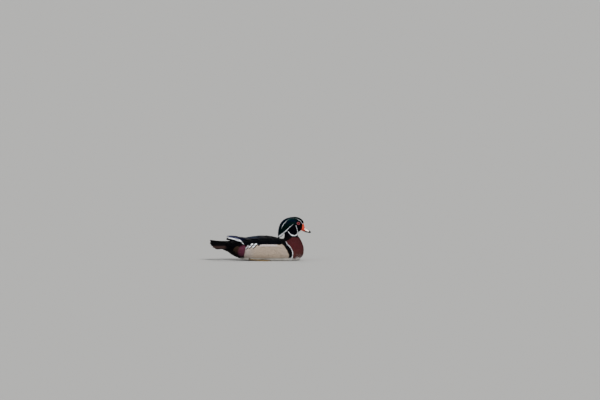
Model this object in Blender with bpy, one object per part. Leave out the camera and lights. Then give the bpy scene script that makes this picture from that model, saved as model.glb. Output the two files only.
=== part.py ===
"""A drake wood duck, life size, resting on its belly with its feet tucked under.

The bird faces +X with +Z up, and its left side is +Y. Tables are in millimetres.
The origin is at the middle of the bird's length and width, on the surface it rests on.
"""
import math

import bmesh
import bpy
import numpy as np

MM = 0.001
GAP = 0.3  # between two nodes that meet
SEAM = 0.18  # how far each side of a cut between two nodes is drawn back
LEFT, RIGHT = 1, -1
NAMES = {LEFT: "left", RIGHT: "right"}

# Half widths of a vane along its shaft, as shares of its width.
ROUNDED = (0.7, 1.0, 0.95, 0.4)
POINTED = (0.7, 1.0, 0.7, 0.15)
LANCE = (0.6, 1.0, 0.75, 0.35)
QUILL = (0.6, 0.95, 1.0, 0.85, 0.35)
RECTRIX = (0.3, 0.7, 0.95, 1.0, 0.5)
VANE_THICKNESS = 0.55

# Rows of a lofted form: upper edge x and z, lower edge x and z, half width,
# how far the widest point sits below the middle, squareness above it and below it.
TRUNK = (
    (181.0, 145.5, 171.0, 124.0, 10.0, 0.00, 0.03, 0.03),
    (178.0, 155.5, 164.5, 121.0, 14.0, 0.02, 0.00, 0.02),
    (171.0, 167.0, 158.5, 117.5, 17.5, 0.04, 0.00, 0.00),
    (157.0, 176.0, 154.5, 113.0, 20.0, 0.06, 0.00, 0.00),
    (139.5, 179.3, 152.0, 108.5, 21.3, 0.06, 0.00, 0.00),
    (122.0, 175.0, 151.5, 106.0, 21.6, 0.04, 0.00, 0.00),
    (108.0, 163.0, 151.5, 104.5, 21.6, 0.02, 0.00, 0.00),
    (100.0, 146.0, 152.5, 102.5, 21.4, 0.00, 0.00, 0.00),
    (97.5, 128.0, 154.5, 99.5, 21.2, 0.00, 0.00, 0.00),
    (98.0, 112.0, 158.0, 95.5, 22.5, 0.00, 0.00, 0.00),
    (98.0, 99.0, 163.0, 88.5, 26.0, 0.00, 0.00, 0.00),
    (95.0, 91.0, 170.0, 74.5, 36.0, 0.00, 0.00, 0.00),
    (88.0, 89.5, 177.0, 52.0, 48.0, 0.00, 0.00, 0.02),
    (78.0, 91.0, 175.0, 24.0, 56.0, 0.00, 0.00, 0.03),
    (66.0, 94.5, 158.0, 5.0, 61.0, 0.02, 0.00, 0.04),
    (50.0, 98.5, 130.0, -2.5, 64.5, 0.04, 0.00, 0.05),
    (30.0, 101.5, 88.0, -3.5, 67.0, 0.05, 0.00, 0.06),
    (5.0, 102.0, 42.0, -3.5, 68.0, 0.05, 0.00, 0.06),
    (-25.0, 100.0, -5.0, -3.0, 67.0, 0.05, 0.00, 0.05),
    (-55.0, 95.5, -50.0, 1.0, 61.5, 0.04, 0.00, 0.04),
    (-80.0, 90.0, -88.0, 10.0, 51.5, 0.02, 0.00, 0.02),
    (-100.0, 85.0, -115.0, 22.0, 39.0, 0.00, 0.00, 0.00),
    (-117.0, 80.5, -133.0, 35.0, 28.0, -0.02, 0.00, 0.00),
)
FACE, NECK_TOP, NECK_BASE, TAIL_ROOT = 0, 9, 11, 22  # rows of TRUNK where the nodes part

CREST = (
    (158.0, 170.0, 146.0, 150.0, 13.0, 0.0, 0.0, 0.0),
    (140.0, 178.2, 130.0, 141.0, 17.8, 0.0, 0.0, 0.0),
    (122.0, 177.6, 118.0, 131.0, 19.3, 0.0, 0.0, 0.0),
    (106.0, 173.0, 109.0, 123.0, 18.3, 0.0, 0.0, 0.0),
    (93.0, 165.5, 102.5, 116.5, 16.3, 0.0, 0.0, 0.0),
    (83.0, 154.5, 97.0, 111.0, 13.8, 0.0, 0.0, 0.0),
    (76.3, 141.0, 93.0, 106.3, 11.3, 0.0, 0.0, 0.0),
    (72.8, 124.5, 90.5, 102.0, 9.0, 0.0, 0.0, 0.0),
    (71.3, 109.0, 88.0, 98.8, 7.0, 0.0, 0.0, 0.0),
    (71.5, 99.5, 82.5, 96.2, 4.5, 0.0, 0.0, 0.0),
    (73.5, 96.2, 77.5, 95.6, 1.5, 0.0, 0.0, 0.0),
)
CREST_CORE_END = 5.0  # row at which the crest's fleshy core ends, less than half way to its tips
CREST_CORE_DEPTH = 1.6  # how far the core lies under the feathers at its front, and twice that at its end
# Tiers of the crest from the lowest layer up: count on each side, roots and tips as rows
# and degrees from the crest's upper edge, widths, lifts, outline.
CREST_TIERS = (
    (3, ((3.6, 42), (4.4, 142)), ((9.7, 52), (9.3, 132)), (8.0, 7.5), (-4.6, -1.8), QUILL),
    (3, ((2.0, 40), (3.4, 136)), ((7.8, 42), (8.2, 126)), (11.0, 10.0), (-4.2, -0.6), LANCE),
    (3, ((0.6, 38), (2.2, 122)), ((5.6, 40), (6.5, 112)), (12.5, 12.0), (-3.6, 0.4), LANCE),
)
CREST_RIDGE = (  # vanes along its upper edge: rows of root and tip, width, lifts
    (3.6, 9.9, 7.5, (-4.4, -0.8)),
    (2.0, 8.4, 9.0, (-4.0, 0.2)),
    (0.6, 6.6, 10.5, (-3.4, 0.9)),
)
CREST_SLOPE = -0.14

# The base of the tail under its coverts, in the same terms.
TAIL_BASE = (
    (-117.0, 80.5, -133.0, 35.0, 28.0, -0.02, 0.0, 0.0),
    (-129.0, 80.0, -146.0, 40.5, 25.0, -0.02, 0.0, 0.0),
    (-141.0, 79.0, -157.0, 46.0, 19.0, 0.0, 0.0, 0.0),
    (-152.0, 77.0, -165.0, 54.0, 10.0, 0.0, 0.0, 0.0),
    (-158.0, 74.0, -168.0, 62.0, 3.0, 0.0, 0.0, 0.0),
)

# Bill: distance along it is the row. Ridge x and z, mouth line x and z, half width.
UPPER_BILL = (
    (176.0, 150.0, 168.0, 128.2, 10.0),
    (180.5, 145.2, 172.0, 126.6, 9.8),
    (184.0, 138.5, 176.0, 124.6, 9.2),
    (187.5, 133.0, 181.5, 122.8, 8.6),
    (192.0, 128.3, 187.5, 120.8, 8.2),
    (197.0, 124.2, 194.0, 118.6, 7.9),
    (201.5, 120.8, 199.5, 116.8, 7.2),
    (205.0, 118.0, 203.8, 115.2, 5.2),
    (206.9, 115.9, 206.4, 114.2, 2.0),
)
LOWER_BILL = (
    (167.0, 128.4, 166.0, 123.5, 8.6),
    (171.6, 126.8, 171.0, 121.8, 8.3),
    (176.0, 125.0, 176.5, 119.6, 7.9),
    (181.5, 123.2, 182.0, 117.6, 7.4),
    (187.5, 121.2, 188.5, 116.0, 7.0),
    (194.0, 119.0, 194.5, 114.8, 6.6),
    (199.5, 117.2, 199.5, 113.8, 5.6),
    (203.2, 115.8, 203.0, 113.2, 3.4),
)
NOSTRIL_AT = (186.5, 8.0, 130.2)
NOSTRIL_SIZE = (3.6, 3.2, 1.5)

EYE_AT = (155.8, 14.8, 152.9)
EYE_RADIUS = 5.8
CHEEK_AT_EYE = 18.5  # half width of the head at the eye
CHEEK_TILT = (-0.20, -0.25)  # how fast it narrows forwards and upwards there
LID_RADIUS, LID_THICKNESS = 5.9, 1.1
EYE_ROOM = 0.48  # between the eye and its socket, whose facets come nearer than this

# Feathers of the flanks from the lowest layer up: count, roots and tips as rows of the trunk and
# degrees from its upper edge, widths, lifts from root to tip, outline.
FLANK_TIERS = {
    "lower flank": (4, ((13.0, 108), (17.8, 106)), ((15.0, 98), (20.2, 92)), (18, 16), (-1.0, 3.0), ROUNDED),
    "upper flank": (5, ((13.4, 91), (17.0, 90)), ((15.4, 82), (19.2, 81)), (17, 15), (-1.0, 3.2), ROUNDED),
    "barred plumes": (2, ((16.4, 84), (17.0, 79)), ((18.8, 80), (19.6, 77)), (11, 10), (-1.0, 5.0), ROUNDED),
    "golden plumes": (3, ((19.3, 106), (19.8, 92)), ((21.2, 116), (21.0, 95)), (5, 4), (-1.2, 2.4), LANCE),
}
FLANK_SLOPE = 0.05  # how much each flank feather leans on the next
LOWEST_VANE = 0.6  # height that no flank feather goes below

# The folded wing: rows of TRUNK and angles on it, then free rows of points out to the tips.
WING_ROWS = (13.7, 15.0, 16.5, 18.0, 19.3)
WING_EDGES = (15.0, 40.0, 66.0)  # degrees from the top: upper edge, middle, lower edge
WING_FREE = (
    ((-97.0, 16.0, 98.0), (-94.0, 28.0, 92.5), (-89.0, 37.0, 80.5)),
    ((-120.0, 13.0, 99.8), (-119.0, 21.0, 95.5), (-116.0, 27.0, 86.5)),
    ((-143.0, 13.5, 97.5), (-143.5, 16.0, 95.0), (-142.0, 18.5, 91.0)),
)
WING_CORE_END = 0.62  # where the wing's fleshy part ends, as a share of its length
WING_FRONT_ROUND, WING_FRONT_END = 0.09, 0.3  # how far its front edge is rounded back, and up to where
WING_THICKNESS = 6.3
WING_TUCK = 7.0  # how far the trunk is drawn in under the wing
# Tiers of the folded wing from the lowest layer up: count, roots and tips in wing coordinates,
# widths, lifts from root to tip, outline.
WING_TIERS = {
    "secondaries": (
        4, ((0.38, 0.91), (0.40, 0.42)), ((0.60, 0.90), (0.70, 0.42)), (14, 14), (-1.0, 2.0), QUILL
    ),
    "greater": (
        4, ((0.28, 0.91), (0.30, 0.40)), ((0.46, 0.91), (0.54, 0.40)), (14, 14), (-1.0, 2.8), ROUNDED
    ),
    "median": (4, ((0.15, 0.91), (0.16, 0.40)), ((0.34, 0.91), (0.38, 0.40)), (14, 14), (-1.0, 2.8), ROUNDED),
    "lesser": (4, ((0.02, 0.88), (0.03, 0.40)), ((0.22, 0.91), (0.25, 0.40)), (14, 14), (-1.0, 2.8), ROUNDED),
    "tertials": (3, ((0.42, 0.42), (0.42, 0.16)), ((0.75, 0.62), (0.85, 0.20)), (15, 14), (-1.0, 3.4), QUILL),
    "hind back": (
        2, ((0.32, 0.24), (0.32, 0.08)), ((0.60, 0.24), (0.62, 0.08)), (14, 13), (-1.0, 3.2), POINTED
    ),
    "mid back": (
        2, ((0.19, 0.24), (0.19, 0.08)), ((0.45, 0.24), (0.46, 0.08)), (14, 13), (-1.0, 3.2), POINTED
    ),
    "fore back": (
        2, ((0.06, 0.24), (0.06, 0.08)), ((0.31, 0.24), (0.32, 0.08)), (14, 13), (-1.0, 3.2), POINTED
    ),
}
PRIMARIES = 5
PRIMARY_WIDTH = 9.5

TAIL_ROOT_X, TAIL_LENGTH, TAIL_OUTER_SHORTER = -103.0, 103.5, 21.5
TAIL_ROOT_WIDTH, TAIL_SPREAD = 19.0, 21.0
TAIL_TOP, TAIL_DROOP = 80.0, 31.0
TAIL_PAIRS = 6
TAIL_VANE_WIDTH, TAIL_VANE_NARROWER = 16.0, 0.5  # the middle pair, and how much each next one is narrower
# Coverts over and under the tail: count on each side, roots and tips as rows of the tail's base
# and degrees from its upper edge, widths, lifts, outline.
TAIL_COVERTS = (
    (2, ((0.3, 16), (0.3, 56)), ((3.6, 12), (3.1, 60)), (14, 13), (-1.4, 1.8), ROUNDED),
    (2, ((0.3, 164), (0.3, 122)), ((3.6, 166), (3.1, 116)), (14, 13), (-1.4, 1.8), ROUNDED),
)
COVERT_SLOPE = -0.05

FOOT_JOINT = (-9.0, 48.0, 3.4)
HEEL = (-45.0, 43.0, 6.2)
TOES = {  # knuckle and tip of each toe
    "inner": ((8.0, 41.0, 2.0), (27.0, 35.5, 1.9)),
    "middle": ((14.0, 48.5, 2.1), (38.0, 48.0, 1.9)),
    "outer": ((10.0, 55.5, 2.0), (30.0, 62.0, 1.9)),
}
TOE_RADIUS = 2.0
WEB_TOP, WEB_BOTTOM = 1.5, 0.2
WEB_HOLLOW = 0.16  # how far the free edge of a web curves in, as a share of its length
CLAW_LENGTH = 5.5
LEG_RADII = (3.4, 2.5, 2.3, 2.8)  # from heel to foot
THIGH_RADII = (3.6, 4.6, 5.5)


def spline(table, s):
    """Rows of a table read at fractional row numbers, on a curve through all of them."""
    table = np.asarray(table, float)
    last = len(table) - 1
    s = np.clip(np.asarray(s, float), 0, last)
    i = np.minimum(s.astype(int), last - 1)
    f = (s - i).reshape(s.shape + (1,) * (table.ndim - 1))
    a, b, c, d = (table[np.clip(i + k, 0, last)] for k in (-1, 0, 1, 2))
    bend = (2 * a - 5 * b + 4 * c - d) * f**2 + (3 * b - a - 3 * c + d) * f**3
    return 0.5 * (2 * b + (c - a) * f + bend)


def on_form(table, s, angle, lift=0.0, floor=-1e9):
    """Points of a lofted form at row s and an angle in radians from its upper edge, raised by lift."""
    s, angle, lift = np.broadcast_arrays(s, angle, lift)

    def surface(s, angle):
        ux, uz, lx, lz, half, drop, above, below = np.moveaxis(spline(table, s), -1, 0)
        square = np.where(np.cos(angle) > 0, above, below)
        reach = 1 + square * np.sin(2 * angle) ** 2
        down = 0.5 - 0.5 * np.cos(angle) * reach + drop * np.sin(angle) ** 2
        x, z = ux + (lx - ux) * down, uz + (lz - uz) * down
        return np.stack([x, half * np.sin(angle) * reach, z], -1)

    step = 1e-3
    inside = np.clip(s, step, len(table) - 1 - step)
    along = surface(inside + step, angle) - surface(inside - step, angle)
    round_it = surface(s, angle + step) - surface(s, angle - step)
    normal = np.cross(round_it, along)
    normal /= np.linalg.norm(normal, axis=-1, keepdims=True) + 1e-12
    points = surface(s, angle) + normal * lift[..., None]
    points[..., 2] = np.maximum(points[..., 2], floor)
    return points


def ramp(x, low, high):
    """0 below low, 1 above high, smooth between."""
    f = np.clip((np.asarray(x, float) - low) / (high - low), 0, 1)
    return f * f * (3 - 2 * f)


def wing_tuck(s, angle):
    """How far the trunk is drawn in under the folded wing."""
    turn = np.degrees(np.abs((angle + np.pi) % (2 * np.pi) - np.pi))
    lengthwise = ramp(s, 12.4, 13.8) * (1 - ramp(s, 20.2, 21.6))
    crosswise = ramp(turn, 6.0, 22.0) * (1 - ramp(turn, 60.0, 72.0))
    return WING_TUCK * lengthwise * crosswise


def mesh_object(name, points, faces, colour=(0.5, 0.5, 0.5), roughness=0.6, metallic=0.0):
    """A named object from points in millimetres, with its own material."""
    mesh = bpy.data.meshes.new(name)
    mesh.from_pydata([tuple(p) for p in np.asarray(points) * MM], [], [tuple(f) for f in faces])
    work = bmesh.new()
    work.from_mesh(mesh)
    bmesh.ops.recalc_face_normals(work, faces=work.faces)
    bmesh.ops.triangulate(work, faces=work.faces)
    work.to_mesh(mesh)
    work.free()
    obj = bpy.data.objects.new(name, mesh)
    bpy.context.scene.collection.objects.link(obj)
    material = bpy.data.materials.new(name)
    material.use_nodes = True
    shader = material.node_tree.nodes["Principled BSDF"]
    shader.inputs["Base Color"].default_value = (*colour, 1)
    shader.inputs["Roughness"].default_value = roughness
    shader.inputs["Metallic"].default_value = metallic
    mesh.materials.append(material)
    return obj


def finish_shading(obj):
    obj.data.shade_smooth()
    obj.data.set_sharp_from_angle(angle=math.radians(40))
    return obj


def rings(points):
    """Faces of a tube whose rings are the rows of points, with a flat cap at each end."""
    count, round_it = points.shape[:2]
    faces = []
    for i in range(count - 1):
        for j in range(round_it):
            k = (j + 1) % round_it
            a, b = i * round_it, (i + 1) * round_it
            faces.append((a + j, a + k, b + k, b + j))
    faces.append(tuple(range(round_it)))
    faces.append(tuple((count - 1) * round_it + j for j in range(round_it)))
    return points.reshape(-1, 3), faces


def loft(table, first, last, steps, sides, lift=None, floor=-1e9, trim=0.0):
    """A closed length of a form between two rows, each end drawn back by trim along the form."""
    s = np.linspace(first, last, steps)[:, None]
    angle = np.linspace(0, 2 * np.pi, sides, endpoint=False)[None, :]
    points = on_form(table, s, angle, 0.0 if lift is None else lift(s, angle), floor)
    for end, next_in in ((0, 1), (-1, -2)):
        spoke = points[end, sides // 2] - points[end, 0]
        normal = np.cross(spoke, (0.0, 1.0, 0.0))
        normal /= np.linalg.norm(normal)
        inwards = points[next_in].mean(0) - points[end].mean(0)
        points[end] += normal * trim * np.sign(normal @ inwards)
    return rings(points)


def tube(path, radii, sides, floor=-1e9):
    """A closed round rod along a path of points, with a radius at each."""
    path = np.asarray(path, float)
    radii = np.broadcast_to(radii, len(path))
    along = np.gradient(path, axis=0)
    along /= np.linalg.norm(along, axis=1, keepdims=True)
    across = np.cross(along, (0.0, 0.0, 1.0))
    across /= np.linalg.norm(across, axis=1, keepdims=True)
    above = np.cross(across, along)
    turn = np.linspace(0, 2 * np.pi, sides, endpoint=False) + np.pi / sides
    ring = np.cos(turn)[None, :, None] * across[:, None] + np.sin(turn)[None, :, None] * above[:, None]
    points = path[:, None] + ring * radii[:, None, None]
    points[..., 2] = np.maximum(points[..., 2], floor)
    return rings(points)


def ball(centre, size, segments=16, bands=10):
    """A closed ellipsoid of three half sizes."""
    up = np.linspace(0.08, np.pi - 0.08, bands)[:, None]
    turn = np.linspace(0, 2 * np.pi, segments, endpoint=False)[None, :]
    unit = np.stack([np.sin(up) * np.cos(turn), np.sin(up) * np.sin(turn), np.cos(up) + 0 * turn], -1)
    return rings(np.asarray(centre) + unit * np.asarray(size))


def sheet(outer, inner):
    """A closed plate between two like grids of points, split into triangles alike on both."""
    rows, columns = outer.shape[:2]
    count = rows * columns
    faces = []
    for i in range(rows - 1):
        for j in range(columns - 1):
            a, b = i * columns + j, i * columns + j + 1
            c, d = a + columns, b + columns
            faces += [(a, b, d), (a, d, c)]
            faces += [(count + a, count + d, count + b), (count + a, count + c, count + d)]
    rim = [i for i in range(columns)]
    rim += [i * columns + columns - 1 for i in range(1, rows)]
    rim += [(rows - 1) * columns + j for j in range(columns - 2, -1, -1)]
    rim += [i * columns for i in range(rows - 2, 0, -1)]
    for a, b in zip(rim, rim[1:] + rim[:1]):
        faces += [(b, a, count + a), (b, count + a, count + b)]
    return np.concatenate([outer.reshape(-1, 3), inner.reshape(-1, 3)]), faces


def vane(place, root, tip, width, lifts, outline=ROUNDED, columns=2, roll=0.0, bow=0.0, camber=0.35):
    """A closed tapered vane whose shaft runs over a surface from root to tip, raised by lifts there.

    Roots and tips are pairs of the surface's own coordinates. Roll raises one edge of the vane and
    lowers the other, bow bends its shaft sideways in millimetres, and camber lowers both edges.
    """
    t = np.linspace(0, 1, len(outline))
    line = np.asarray(root, float) + (np.asarray(tip, float) - root) * t[:, None]
    raised = np.interp(t, np.linspace(0, 1, len(lifts)), lifts)
    shaft = place(line[:, 0], line[:, 1], raised)
    normal = place(line[:, 0], line[:, 1], raised + 1.0) - shaft
    normal /= np.linalg.norm(normal, axis=1, keepdims=True)
    across = np.cross(normal, np.gradient(shaft, axis=0))
    across /= np.linalg.norm(across, axis=1, keepdims=True)
    shaft = shaft + across * (bow * 4 * t * (1 - t))[:, None]
    column = np.linspace(-1, 1, columns)[None, :, None]
    half = (0.5 * width * np.asarray(outline))[:, None, None]
    sag = camber * column**2 * np.asarray(outline)[:, None, None]
    rise = roll * half * column - sag
    top = shaft[:, None] + across[:, None] * half * column + normal[:, None] * rise
    depth = (VANE_THICKNESS * np.linspace(1.0, 0.8, len(outline)))[:, None, None]
    return cutter(*sheet(top, top - normal[:, None] * depth))


def tier(place, count, roots, tips, width, lifts, draw, side=RIGHT, slope=0.16, **shape):
    """A row of overlapping vanes whose roots and tips are spread along two lines."""
    made = []
    for f in np.linspace(0, 1, count):
        stray = draw.normal(0, 1, 3).clip(-2, 2)
        root = np.asarray(roots[0]) * (1 - f) + np.asarray(roots[1]) * f
        tip = np.asarray(tips[0]) * (1 - f) + np.asarray(tips[1]) * f
        tip = tip + (tip - root) * 0.03 * stray[0]
        size = (width[0] * (1 - f) + width[1] * f) * (1 + 0.04 * stray[1])
        bow = side * 0.5 * stray[2]
        made.append(vane(place, root, tip, size, lifts, roll=-side * slope, bow=bow, **shape))
    return made


def mirrored(points, side):
    points = np.array(points, float)
    points[..., 1] *= side
    return points


def boolean(obj, others, operation, solver="EXACT"):
    """Joins or cuts obj by closed forms, which are used up."""
    group = bpy.data.collections.new("operands")
    bpy.context.scene.collection.children.link(group)
    for other in others:
        for old in list(other.users_collection):
            old.objects.unlink(other)
        group.objects.link(other)
    modifier = obj.modifiers.new(operation.title(), "BOOLEAN")
    modifier.operation = operation
    modifier.operand_type = "COLLECTION"
    modifier.collection = group
    modifier.solver = solver
    apply_modifiers(obj)
    for other in others:
        bpy.data.objects.remove(other)
    bpy.data.collections.remove(group)


def apply_modifiers(obj):
    graph = bpy.context.evaluated_depsgraph_get()
    made = bpy.data.meshes.new_from_object(obj.evaluated_get(graph))
    obj.modifiers.clear()
    obj.data = made


def keep_largest(obj):
    """Leaves only the largest closed surface of obj."""
    work = bmesh.new()
    work.from_mesh(obj.data)
    bmesh.ops.remove_doubles(work, verts=work.verts, dist=1e-6)
    left, groups = set(work.faces), []
    while left:
        group, edge = set(), [left.pop()]
        while edge:
            face = edge.pop()
            group.add(face)
            for near in {f for e in face.edges for f in e.link_faces} & left:
                left.discard(near)
                edge.append(near)
        groups.append(group)
    groups.sort(key=lambda g: sum(f.calc_area() for f in g))
    for group in groups[:-1]:
        bmesh.ops.delete(work, geom=list(group), context="FACES")
    loose = [v for v in work.verts if not v.link_faces]
    bmesh.ops.delete(work, geom=loose, context="VERTS")
    work.to_mesh(obj.data)
    work.free()


def cutter(points, faces):
    return mesh_object("cutter", points, faces)


def grown(name, gap=GAP * 1.05):
    """A cutter of the shape of a finished node, larger all round by a gap."""
    mesh = bpy.data.objects[name].data.copy()
    normals = [v.normal.copy() for v in mesh.vertices]
    for vertex, normal in zip(mesh.vertices, normals):
        vertex.co += normal * gap * MM
    obj = bpy.data.objects.new("cutter", mesh)
    bpy.context.scene.collection.objects.link(obj)
    return obj


def flank_feathers(draw):
    made = []
    for side in (LEFT, RIGHT):
        def place(s, degrees, lift, side=side):
            return mirrored(on_form(TRUNK, s, np.radians(degrees), lift, LOWEST_VANE), side)

        for count, roots, tips, width, lifts, outline in FLANK_TIERS.values():
            made += tier(place, count, roots, tips, width, lifts, draw, side, FLANK_SLOPE, outline=outline)
    return made


def make_torso():
    form = loft(TRUNK, NECK_BASE, TAIL_ROOT, 22, 24, lambda s, a: -wing_tuck(s, a), 0.0, SEAM)
    torso = mesh_object("torso", *form, (0.35, 0.27, 0.2))
    boolean(torso, flank_feathers(np.random.default_rng(3)), "UNION", "MANIFOLD")
    keep_largest(torso)
    return torso


def make_neck():
    form = loft(TRUNK, NECK_TOP, NECK_BASE, 5, 28, trim=SEAM)
    return mesh_object("neck", *form, (0.16, 0.03, 0.04))


def lid_ring(side, around=12, sides=5):
    """The raised rim of the eyelids, lying on the cheek round the eye."""
    turn = np.linspace(0, 2 * np.pi, around, endpoint=False)[:, None]
    small = np.linspace(0, 2 * np.pi, sides, endpoint=False)[None, :]
    reach = LID_RADIUS + LID_THICKNESS * np.cos(small)
    dx, dz = reach * np.cos(turn), reach * np.sin(turn)
    y = CHEEK_AT_EYE + CHEEK_TILT[0] * dx + CHEEK_TILT[1] * dz + LID_THICKNESS * np.sin(small)
    points = mirrored(np.stack([EYE_AT[0] + dx, y, EYE_AT[2] + dz], -1), side)
    faces = []
    for i in range(around):
        for j in range(sides):
            k, m = (i + 1) % around, (j + 1) % sides
            faces.append((i * sides + j, i * sides + m, k * sides + m, k * sides + j))
    return cutter(points.reshape(-1, 3), faces)


def crest_feathers(draw):
    made = []
    for side in (LEFT, RIGHT):
        def place(s, degrees, lift, side=side):
            return mirrored(on_form(CREST, s, np.radians(degrees), lift), side)

        for count, roots, tips, width, lifts, outline in CREST_TIERS:
            made += tier(place, count, roots, tips, width, lifts, draw, side, CREST_SLOPE, outline=outline)
    for root, tip, width, lifts in CREST_RIDGE:
        made.append(vane(place, (root, 0), (tip, 0), width, lifts, QUILL, columns=3, camber=1.0))
    return made


def make_head():
    """The head with its lids and crest, less the sockets of the eyes."""
    form = loft(TRUNK, FACE, NECK_TOP, 16, 24, trim=SEAM)
    head = mesh_object("head", *form, (0.02, 0.12, 0.08), 0.35)
    def sunk(s, angle):
        return -CREST_CORE_DEPTH * (1 + ramp(s, 2, CREST_CORE_END)) + 0 * angle

    core = cutter(*loft(CREST, 0, CREST_CORE_END, 9, 14, sunk))
    feathers = crest_feathers(np.random.default_rng(5))
    boolean(head, [core, *feathers, lid_ring(LEFT), lid_ring(RIGHT)], "UNION", "MANIFOLD")
    socket = EYE_RADIUS + EYE_ROOM
    holes = [cutter(*ball(mirrored(EYE_AT, side), (socket,) * 3, 12, 7)) for side in (LEFT, RIGHT)]
    boolean(head, holes, "DIFFERENCE", "MANIFOLD")
    keep_largest(head)
    return head


def make_eye(side):
    form = ball(mirrored(EYE_AT, side), (EYE_RADIUS,) * 3, 14, 9)
    return mesh_object(f"eye_{NAMES[side]}", *form, (0.5, 0.05, 0.03), 0.1)


def mandible(table, dome, steps=10, arch=7):
    """A closed half of the bill: domed from side to side on one face and flat on the mouth's."""
    table = np.asarray(table)
    rows = spline(table, np.linspace(0, len(table) - 1, steps))
    turn = np.linspace(0, np.pi, arch)
    points = []
    for x1, z1, x2, z2, half in rows:
        (ox, oz), (ix, iz) = ((x1, z1), (x2, z2)) if dome > 0 else ((x2, z2), (x1, z1))
        ring = []
        for a in turn:
            rise = math.sin(a) ** 0.75
            ring.append((ix + (ox - ix) * rise, half * math.cos(a), iz + (oz - iz) * rise))
        ring.append((ix, -half * 0.5, iz))
        ring.append((ix, half * 0.5, iz))
        points.append(ring)
    return rings(np.array(points))


def make_bill():
    upper = mesh_object("bill_upper", *mandible(UPPER_BILL, 1), (0.6, 0.09, 0.03), 0.3)
    nostrils = [cutter(*ball(mirrored(NOSTRIL_AT, side), NOSTRIL_SIZE, 8, 5)) for side in (LEFT, RIGHT)]
    boolean(upper, [*nostrils, grown("head")], "DIFFERENCE")
    keep_largest(upper)
    lower = mesh_object("bill_lower", *mandible(LOWER_BILL, -1), (0.4, 0.06, 0.03), 0.35)
    boolean(lower, [grown("head"), grown("bill_upper")], "DIFFERENCE")
    keep_largest(lower)


def wing_point(u, v, lift, side):
    """A point of the folded wing: u from the shoulder to the tips, v from its upper edge to its lower."""
    edges = np.radians(WING_EDGES)
    body = [on_form(TRUNK, row, edges) for row in WING_ROWS]
    rows = np.array([*body, *WING_FREE])
    u, v, lift = np.broadcast_arrays(np.asarray(u, float), v, lift)

    def surface(u, v):
        u = u + WING_FRONT_ROUND * (2 * v - 0.8) ** 2 * np.clip(1 - u / WING_FRONT_END, 0, 1)
        across = spline(rows, u * (len(rows) - 1))
        top, middle, low = across[..., 0, :], across[..., 1, :], across[..., 2, :]
        v = v[..., None]
        return top * (1 - v) * (1 - 2 * v) + middle * 4 * v * (1 - v) + low * v * (2 * v - 1)

    step = 1e-3
    inside = np.clip(u, step, 1 - step)
    along = surface(inside + step, v) - surface(inside - step, v)
    down = surface(u, v + step) - surface(u, v - step)
    normal = np.cross(down, along)
    normal /= np.linalg.norm(normal, axis=-1, keepdims=True)
    return mirrored(surface(u, v) + normal * lift[..., None], side)


def wing_feathers(side, draw):
    def place(u, v, lift):
        return wing_point(u, v, lift, side)

    made = []
    for i in range(PRIMARIES):
        f = i / (PRIMARIES - 1)
        root = (0.50, 0.32 + 0.42 * f)
        tip = (0.87 + 0.13 * f, 0.30 + 0.52 * f)
        lifts = (-0.9 - 1.0 * i, -0.3 - 1.0 * i)
        made.append(vane(place, root, tip, PRIMARY_WIDTH, lifts, QUILL, roll=-side * 0.03, camber=0.1))
    for count, roots, tips, width, lifts, outline in WING_TIERS.values():
        made += tier(place, count, roots, tips, width, lifts, draw, side, outline=outline)
    return made


def make_wing(side):
    u = np.linspace(0, WING_CORE_END, 8)[:, None]
    v = np.linspace(0, 1, 5)[None, :]
    thick = WING_THICKNESS - 3.5 * (2 * v - 1) ** 2 - 1.0 * ramp(u, 0.5, WING_CORE_END)
    form = sheet(wing_point(u, v, 0.0, side), wing_point(u, v, -thick, side))
    wing = mesh_object(f"wing_{NAMES[side]}", *form, (0.03, 0.04, 0.12), 0.35)
    boolean(wing, wing_feathers(side, np.random.default_rng(11)), "UNION", "MANIFOLD")
    boolean(wing, [grown("torso")], "DIFFERENCE", "MANIFOLD")
    keep_largest(wing)
    return wing


def tail_point(u, v, lift=0.0):
    """A point of the spread tail: u from root to tip, v from -1 at its right edge to 1 at its left."""
    u, v, lift = np.broadcast_arrays(np.asarray(u, float), v, lift)

    def surface(u, v):
        out = np.abs(v)
        x = TAIL_ROOT_X - (TAIL_LENGTH - TAIL_OUTER_SHORTER * out**4) * u
        y = v * (TAIL_ROOT_WIDTH + TAIL_SPREAD * u)
        arch = 2.0 * u**2 - 3.5 * np.sin(np.pi * np.clip(u, 0, 1)) * (1 - out)
        return np.stack([x, y, TAIL_TOP + arch - TAIL_DROOP * out**1.5 * (0.75 + 0.25 * u)], -1)

    step = 1e-3
    across = surface(u, v + step) - surface(u, v - step)
    normal = np.cross(across, surface(u + step, v) - surface(u - step, v))
    normal /= np.linalg.norm(normal, axis=-1, keepdims=True)
    return surface(u, v) - normal * lift[..., None] * np.sign(-normal[..., 2:])


def tail_feathers(draw):
    made = []
    for side in (LEFT, RIGHT):
        def fan(u, v, lift, side=side):
            return tail_point(u, side * v, lift)

        def base(s, degrees, lift, side=side):
            return mirrored(on_form(TAIL_BASE, s, np.radians(degrees), lift), side)

        for i in range(TAIL_PAIRS):
            out = (i + 0.45) / (TAIL_PAIRS - 0.5)
            long = 1.0 + draw.normal(0, 0.006)
            lifts = (0.4 - 0.3 * i, 0.4 - 0.2 * i)
            width = TAIL_VANE_WIDTH - TAIL_VANE_NARROWER * i
            made.append(vane(fan, (0.28, out), (long, out), width, lifts, RECTRIX, roll=-side * 0.2))
        for count, roots, tips, width, lifts, outline in TAIL_COVERTS:
            made += tier(base, count, roots, tips, width, lifts, draw, side, COVERT_SLOPE, outline=outline)
    return made


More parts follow.
